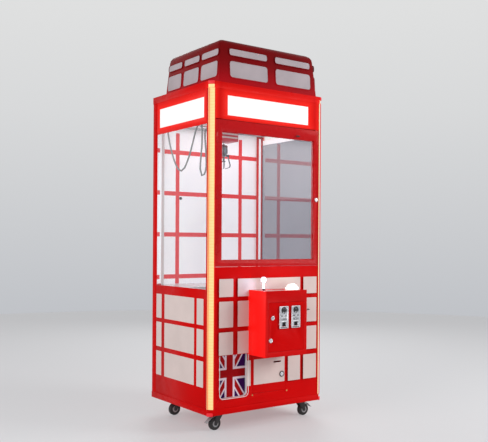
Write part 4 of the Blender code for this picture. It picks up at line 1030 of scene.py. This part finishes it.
class CRANE_OT_low_doors(bpy.types.Operator):
    """Finishes the prize flap, the service door and the coin door"""
    bl_idname = "crane.low_doors"
    bl_label = "Flap and low doors"

    def execute(self, context):
        refine("prize_flap", "flap", soft=0.0005)
        lo, hi = opening_box("prize_opening")
        lo, hi = lo - Vector((0.007, 0, 0.010)), hi + Vector((0.007, 0, 0.004))
        edging = border((lo.x - 0.003, FRONT - 0.0012, lo.z - 0.003), (hi.x + 0.003, FRONT, hi.z + 0.03),
                        Y, 0.003, 0.028, 0.0002)
        over = plate((lo.x - 0.02, FRONT - 0.01, hi.z), (hi.x + 0.02, FRONT + 0.01, hi.z + 0.05), Y)
        edging = hollow(edging, over)
        fit("flap_edging", [edging], "rim", "cabinet")
        refine("service_door", "cabinet", soft=0.0005)
        refine("coin_door", "cabinet", soft=0.0005)
        return {"FINISHED"}


# ---- controls ----
def key_face(place, radius, towards):
    """A round key barrel with a raised ring."""
    return turned(place, ((radius, 0), (radius, 0.0012), (radius * 0.86, 0.0018), (radius * 0.72, 0.0018),
                          (radius * 0.68, 0.0010), (radius * 0.40, 0.0010)), towards, 32)


class CRANE_OT_locks(bpy.types.Operator):
    """Finishes the cam locks with rings and keyholes"""
    bl_idname = "crane.locks"
    bl_label = "Locks"

    def execute(self, context):
        for node in ("front_door_lock", "service_door_lock", "coin_door_lock_upper", "coin_door_lock_lower"):
            refine(node, "chrome", soft=0.0003)
            lo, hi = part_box(node)
            centre = Vector(((lo.x + hi.x) / 2, lo.y - 0.0001, hi.z - LOCK_RADIUS))
            ring = key_face(centre, 0.0120, "-Y")
            fit(node + "_ring", [ring], "chrome", frame["nodes"][node]["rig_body"])
            if node == "service_door_lock":
                rose = turned(centre + Vector((0, 0.0004, 0)), ROSE_STEPS, "-Y", 40)
                fit(node + "_rose", [rose], "black", "service_door")
            # The keyhole is a near-black slit plate on the lock face: painted shade for the hole.
            slit = raised(centre.x, 0.0009, lo.y - 0.0016, lo.y - 0.0009,
                          centre.z - 0.0040, centre.z + 0.0040, 0.0006)
            fit(node + "_keyhole", [slit], "painted_shade", frame["nodes"][node]["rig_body"])
        return {"FINISHED"}


class CRANE_OT_coin_plates(bpy.types.Operator):
    """Details the two chrome coin plates"""
    bl_idname = "crane.coin_plates"
    bl_label = "Coin plates"

    def execute(self, context):
        for side in ("left", "right"):
            node = "coin_plate_" + side
            refine(node, "chrome", soft=0.0006)
            refine("return_button_" + side, "black", soft=0.0004)
            lo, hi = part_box(node)
            x, face = (lo.x + hi.x) / 2, lo.y
            under = face + 0.0001
            edge = border((lo.x + 0.0015, face - 0.0010, lo.z + 0.0015),
                          (hi.x - 0.0015, under, hi.z - 0.0015), Y, 0.0022, 0.003, 0.0003)
            slot = raised(x, 0.008, face - 0.0018, under, hi.z - 0.052, hi.z - 0.014, 0.004, 0.0004, 0.0045)
            cup = raised(x, 0.0185, face - 0.0020, under, lo.z + 0.008, lo.z + 0.040, 0.005, 0.0004, 0.0036)
            fit(node + "_trim", [edge, slot, cup], "chrome", "coin_door")
            # Two near-black bands across the plate: painted shade of recessed lines.
            bands = [raised(x, 0.020, face - 0.0006, face, lo.z + 0.047 + k * 0.006,
                            lo.z + 0.050 + k * 0.006, 0.0010) for k in range(2)]
            fit(node + "_bands", bands, "painted_shade", "coin_door")
            top = hi.z - 0.0235
            oval = turned((x, face, top), COIN_OVAL_STEPS, "-Y", 40)
            oval = hollow(oval, turned((x, face + 0.01, top), ((0.0118, 0), (0.0118, 0.03)), "-Y", 32))
            marks = [oval]
            marks += [plate((x + a, face - 0.0008, hi.z - 0.0580), (x + b, face, hi.z - 0.0530), Y, 0.0010)
                      for a, b in ((-0.021, -0.0085), (0.0085, 0.021))]
            marks.append(raised(x, 0.0225, face - 0.0008, face, lo.z + 0.0035, lo.z + 0.0075, 0.0012))
            marks.append(raised(x, 0.0145, face + 0.0140, face + 0.0156, lo.z + 0.0110, lo.z + 0.0360,
                                0.004))
            fit(node + "_marks", marks, "black", "coin_door")
            heads = [turned((x + side_x, face, z), SMALL_SCREW_STEPS, "-Y", 16)
                     for side_x in (-0.026, 0.026) for z in (lo.z + 0.011, hi.z - 0.007)]
            fit(node + "_screws", heads, "chrome", "coin_door")
        return {"FINISHED"}


class CRANE_OT_controls(bpy.types.Operator):
    """Finishes the joystick and the push button"""
    bl_idname = "crane.controls"
    bl_label = "Joystick and button"

    def execute(self, context):
        refine("joystick_gimbal", "zinc")
        stick = merged_copy("joystick", "joystick_shaft")
        top = high("joystick").z
        ball_z = top - 0.019
        drop_faces(stick, lambda centre, normal: centre.z > ball_z - 0.0185)
        pick_edges(stick, lambda a, b: False)
        bpy.ops.mesh.select_mode(type="EDGE")
        bpy.ops.mesh.select_non_manifold()
        bpy.ops.mesh.edge_face_add()
        bpy.ops.object.mode_set(mode="OBJECT")
        complete(stick, "chrome", "joystick")
        centre = middle("joystick")
        radius = 0.0172
        angles = [math.radians(16 + 11 * k) for k in range(14)]
        steps = [(radius * math.sin(a), -radius * math.cos(a)) for a in angles]
        ball = turned((centre.x, centre.y, ball_z), steps, "+Z", 36)
        ball = fit("joystick_ball", [ball], "ball", "joystick", 60)
        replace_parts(ball, "joystick")
        deck = high("control_box").z - BEZEL_HEIGHT
        sleeve = turned((centre.x, centre.y, deck), SLEEVE_STEPS, "+Z", 28)
        fit("joystick_sleeve", [sleeve], "ball", "joystick", 60)
        boot = turned((centre.x, centre.y, deck), BOOT_STEPS, "+Z", 28)
        fit("joystick_boot", [boot], "rubber", "joystick", 60)
        refine("push_button", "dome_button", angle=60)
        centre = middle("push_button")
        inner, outer = 0.0337, 0.0400
        ring = [(outer, 0.0), (outer + 0.0006, 0.002), (outer + 0.0002, 0.0100), (outer - 0.0026, 0.0130),
                (inner + 0.0010, 0.0134)]
        collar = turned((centre.x, centre.y, deck + 0.0003), ring, "+Z", 48)
        drop_faces(collar, lambda place, normal: abs(normal.z) > 0.99)
        modify(collar, "SOLIDIFY", thickness=0.0004, offset=1.0)
        fit("button_collar", [collar], "dome_button", "cabinet", 50)
        return {"FINISHED"}


class CRANE_OT_fixings(bpy.types.Operator):
    """Adds the screws and the peg"""
    bl_idname = "crane.fixings"
    bl_label = "Screws and peg"

    def execute(self, context):
        parts = [turned((x, FRONT, 0.189), SCREW_STEPS, "-Y", 20) for x in (-0.122, 0.134)]
        fit("front_screws", parts, "brass", "cabinet")
        peg = turned((0.297, FRONT - 0.0005, 0.668), PEG_STEPS, "-Y", 20)
        fit("front_peg", [peg], "black", "cabinet")
        back = high("rear_shell").y
        heads = [turned((x, back, z), SCREW_STEPS, "+Y", 16)
                 for z in (0.25, 0.65, 1.05, 1.45, 1.85) for x in (-0.392, 0.392)]
        fit("rear_screws", heads, "zinc", "cabinet")
        return {"FINISHED"}


# ---- crane ----
def ring_shares(tube, start):
    """How far along a tube each of its points is, ring by ring, from 0 to 1."""
    points = tube.data.vertices
    meeting = {}
    for face in tube.data.polygons:
        for edge in face.edge_keys:
            meeting.setdefault(edge, []).append(face.normal)
    beside = [set() for point in points]
    for (a, b), normals in meeting.items():
        if len(normals) == 2 and normals[0].dot(normals[1]) < 0.9998:
            beside[a].add(b)
            beside[b].add(a)
    nearest = min(points, key=lambda point: (point.co - start).length)
    ring = {point.index for point in points if (point.co - nearest.co).length < 0.012}
    rank = [0] * len(points)
    met = set(ring)
    level = 0
    while ring:
        for index in ring:
            rank[index] = level
        ring = {other for index in ring for other in beside[index]} - met
        met |= ring
        level += 1
    shares = []
    for point in points:
        near = [rank[other.index] for other in points if (other.co - point.co).length < 0.0115]
        shares.append(sum(near) / len(near) / (level - 1))
    return shares


class CRANE_OT_crane(bpy.types.Operator):
    """Finishes the gantry, the trolley, the claw and their cables"""
    bl_idname = "crane.crane"
    bl_label = "Gantry and claw"

    def flexible(self, node, material, slot, bodies, ends, loose=True):
        """A cable or string, shown by a smoothed copy of its node in the node's place."""
        piece = merged_copy(node, node + "_finish")
        dress(piece, material)
        smooth(piece, 60)
        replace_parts(piece, node)
        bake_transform(piece)
        if loose:
            shares = ring_shares(piece, Vector(ends[0]))

    def execute(self, context):
        refine("gantry_frame", "zinc", soft=0.0008)
        refine("bridge", "zinc", soft=0.0006)
        refine("trolley", "trolley", soft=0.0008)
        refine("string_eye", "chrome")
        refine("claw_head", "steel", soft=0.0003)
        refine("claw_plunger", "steel")
        for number in (1, 2, 3):
            refine("claw_finger_%d" % number, "steel", soft=0.0004)
        lo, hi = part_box("trolley")
        parts = []
        for z in (lo.z + 0.016, lo.z + 0.036, lo.z + 0.056):
            for y in (lo.y - 0.0006, hi.y):
                parts.append(plate((lo.x + 0.004, y, z), (hi.x - 0.004, y + 0.0006, z + 0.009), Y, 0.001))
            for x in (lo.x - 0.0006, hi.x):
                parts.append(plate((x, lo.y + 0.004, z), (x + 0.0006, hi.y - 0.004, z + 0.009), X, 0.001))
        fit("trolley_stripes", parts, "rim", "trolley")
        lo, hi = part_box("hoist_string")
        centre = middle("hoist_string")
        self.flexible("hoist_string", "string", "grey_cable", ("hoist_string", "claw"),
                      ((centre.x, centre.y, hi.z), (centre.x, centre.y, lo.z)), loose=False)
        lo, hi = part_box("bridge_cable")
        self.flexible("bridge_cable", "cable", "grey_cable", ("cabinet", "bridge"),
                      ((lo.x, hi.y, hi.z), (lo.x, lo.y, hi.z)))
        lo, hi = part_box("trolley_cable")
        self.flexible("trolley_cable", "cable", "grey_cable", ("bridge", "trolley"),
                      ((lo.x, lo.y, hi.z), (hi.x, lo.y, hi.z)))
        return {"FINISHED"}


# ---- casters ----
CASTERS = ("front_left", "front_right", "rear_left", "rear_right")


class CRANE_OT_casters(bpy.types.Operator):
    """Finishes the casters, with hub caps"""
    bl_idname = "crane.casters"
    bl_label = "Casters"

    def execute(self, context):
        for place in CASTERS:
            refine("caster_fork_" + place, "black", soft=0.0006)
            node = "caster_wheel_" + place
            refine(node, "rubber", soft=0.0006, angle=40)
            lo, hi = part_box(node)
            centre = middle(node)
            caps = [turned((centre.x, y, centre.z), HUB_STEPS, towards, 32)
                    for towards, y in (("-Y", lo.y + 0.0016), ("+Y", hi.y - 0.0016))]
            fit(node + "_hubs", caps, "pedal", node)
        for place in CASTERS[:2]:
            refine("brake_pedal_" + place, "pedal", soft=0.0005)
        return {"FINISHED"}


# ---- stage ----
class CRANE_OT_stage(bpy.types.Operator):
    """Sets the floor, the backdrop, the lamps and the camera"""
    bl_idname = "crane.stage"
    bl_label = "Stage"

    def floor(self, context):
        stage = context.scene.crane_stage
        clear_selection()
        bpy.ops.mesh.primitive_circle_add(vertices=160, radius=stage.floor_radius, fill_type="NGON")
        ground = bpy.context.object
        ground.name = "floor"
        material = bpy.data.materials.new("Studio floor")
        material.use_nodes = True
        tree = material.node_tree
        shader = tree.nodes["Principled BSDF"]
        tone = tuple(stage.floor_tone)
        put(shader, Base_Color=opaque(tone), Roughness=0.55)
        shine = add(tree, "ShaderNodeEmission")
        put(shine, Color=opaque(tone))
        mixed = mix_shaders(tree, 0.45, shader.outputs[0], shine.outputs[0])
        feed(tree, mixed, tree.nodes["Material Output"].inputs["Surface"])
        dress(ground, material)

    def sky(self, context):
        stage = context.scene.crane_stage
        world = bpy.data.worlds.new("Studio")
        context.scene.world = world
        world.use_nodes = True
        tree = world.node_tree
        tree.nodes.clear()
        path = add(tree, "ShaderNodeLightPath")
        seen = calc(tree, "MAXIMUM", path.outputs["Is Camera Ray"], path.outputs["Is Glossy Ray"])
        seen = calc(tree, "MAXIMUM", seen, path.outputs["Is Transmission Ray"])
        shown = add(tree, "ShaderNodeBackground")
        height = add(tree, "ShaderNodeSeparateXYZ")
        feed(tree, add(tree, "ShaderNodeTexCoord").outputs["Generated"], height.inputs[0])
        share = calc(tree, "ADD", ramp(tree, height.outputs["Z"], -0.09, 0.17, 0.0, 0.75),
                     ramp(tree, height.outputs["Z"], 0.17, 0.30, 0.0, 0.25))
        tone = blend_colours(tree, share, opaque(stage.backdrop_low), opaque(stage.backdrop))
        feed(tree, tone, shown.inputs["Color"])
        fill = add(tree, "ShaderNodeBackground")
        put(fill, Color=(0.97, 0.98, 1.0, 1), Strength=0.43)
        mixed = mix_shaders(tree, seen, fill.outputs[0], shown.outputs[0])
        feed(tree, mixed, add(tree, "ShaderNodeOutputWorld").inputs[0])

    def lamp(self, name, place, aim, size, power, colour=(1, 1, 1)):
        data = bpy.data.lights.new(name, "AREA")
        data.shape = "RECTANGLE"
        data.size, data.size_y = size
        data.energy = power
        data.color = colour
        item = bpy.data.objects.new(name, data)
        bpy.context.scene.collection.objects.link(item)
        item.location = place
        item.rotation_euler = (Vector(aim) - Vector(place)).to_track_quat("-Z", "Y").to_euler()
        item.visible_camera = False
        item.visible_transmission = False
        return item

    def execute(self, context):
        stage = context.scene.crane_stage
        self.floor(context)
        self.sky(context)
        self.lamp("key_lamp", (-4.3, -0.8, 2.5), (0, 0, 1.0), (2.4, 2.4), 100)
        side = self.lamp("side_lamp", (3.4, -3.35, 2.48), (0, 0, 1.0), (1.8, 1.8), 125)
        side.visible_glossy = False
        self.lamp("gleam_lamp", (3.4, -3.34, 2.48), (0, 0, 1.0), (1.8, 1.8), 20)
        self.lamp("back_lamp", (2.5, 3.5, 3.0), (0, 0, 1.1), (2.4, 2.4), 60)
        inner = low("gantry_frame").z - 0.03
        self.lamp("inner_lamp", (0.0, 0.07, inner + 0.07), (0.0, 0.0701, 0.8), (0.62, 0.46), 1.8,
                  (0.96, 0.97, 1.0))
        stick, button = middle("joystick"), middle("push_button")
        self.lamp("stick_lamp", (stick.x - 0.01, stick.y - 0.03, 0.845), (stick.x, stick.y + 0.09, 0.80),
                  (0.02, 0.02), 0.09, (0.62, 0.70, 1.0))
        self.lamp("button_lamp", (button.x, button.y - 0.045, 0.830), (button.x, button.y + 0.10, 0.80),
                  (0.02, 0.02), 0.06, (1.0, 0.88, 0.80))
        camera = bpy.data.cameras.new("camera")
        camera.lens = stage.lens
        camera.sensor_width = 36.0
        camera.shift_y = stage.shift
        item = bpy.data.objects.new("camera", camera)
        context.scene.collection.objects.link(item)
        item.location = stage.camera_place
        item.rotation_euler = (math.radians(90), stage.roll, stage.turn)
        context.scene.camera = item
        context.scene.view_settings.view_transform = "Standard"
        return {"FINISHED"}


class CRANE_PT_sidebar(bpy.types.Panel):
    """Lists the machine's settings and its operators"""
    bl_label = "Claw Crane"
    bl_idname = "CRANE_PT_sidebar"
    bl_space_type = "VIEW_3D"
    bl_region_type = "UI"
    bl_category = "Crane"

    def draw(self, context):
        for title in SETTINGS:
            group = getattr(context.scene, title)
            box = self.layout.box()
            for name in group.__class__.__annotations__:
                box.prop(group, name)
        for operator in OPERATORS:
            self.layout.operator(operator.bl_idname)


SETTINGS = {
    "crane_finishes": CraneFinishes, "crane_panels": CranePanels, "crane_flap": CraneFlap,
    "crane_stage": CraneStage,
}
OPERATORS = (
    CRANE_OT_cabinet, CRANE_OT_cells, CRANE_OT_lining, CRANE_OT_dome, CRANE_OT_lights, CRANE_OT_front_door,
    CRANE_OT_low_doors, CRANE_OT_locks, CRANE_OT_coin_plates, CRANE_OT_controls, CRANE_OT_fixings,
    CRANE_OT_crane, CRANE_OT_casters, CRANE_OT_stage,
)


def register():
    """Registers the classes and their settings."""
    for kind in (*SETTINGS.values(), *OPERATORS, CRANE_PT_sidebar):
        bpy.utils.register_class(kind)
    for title, kind in SETTINGS.items():
        setattr(bpy.types.Scene, title, bpy.props.PointerProperty(type=kind))


def unregister():
    """Takes the settings and the classes away."""
    for title in SETTINGS:
        delattr(bpy.types.Scene, title)
    for kind in reversed((*SETTINGS.values(), *OPERATORS, CRANE_PT_sidebar)):
        bpy.utils.unregister_class(kind)


def main():
    """Builds every piece in order."""
    register()
    for operator in OPERATORS:
        getattr(bpy.ops.crane, operator.bl_idname.split(".")[1])()
    clear_selection()


if __name__ == "__main__":
    main()
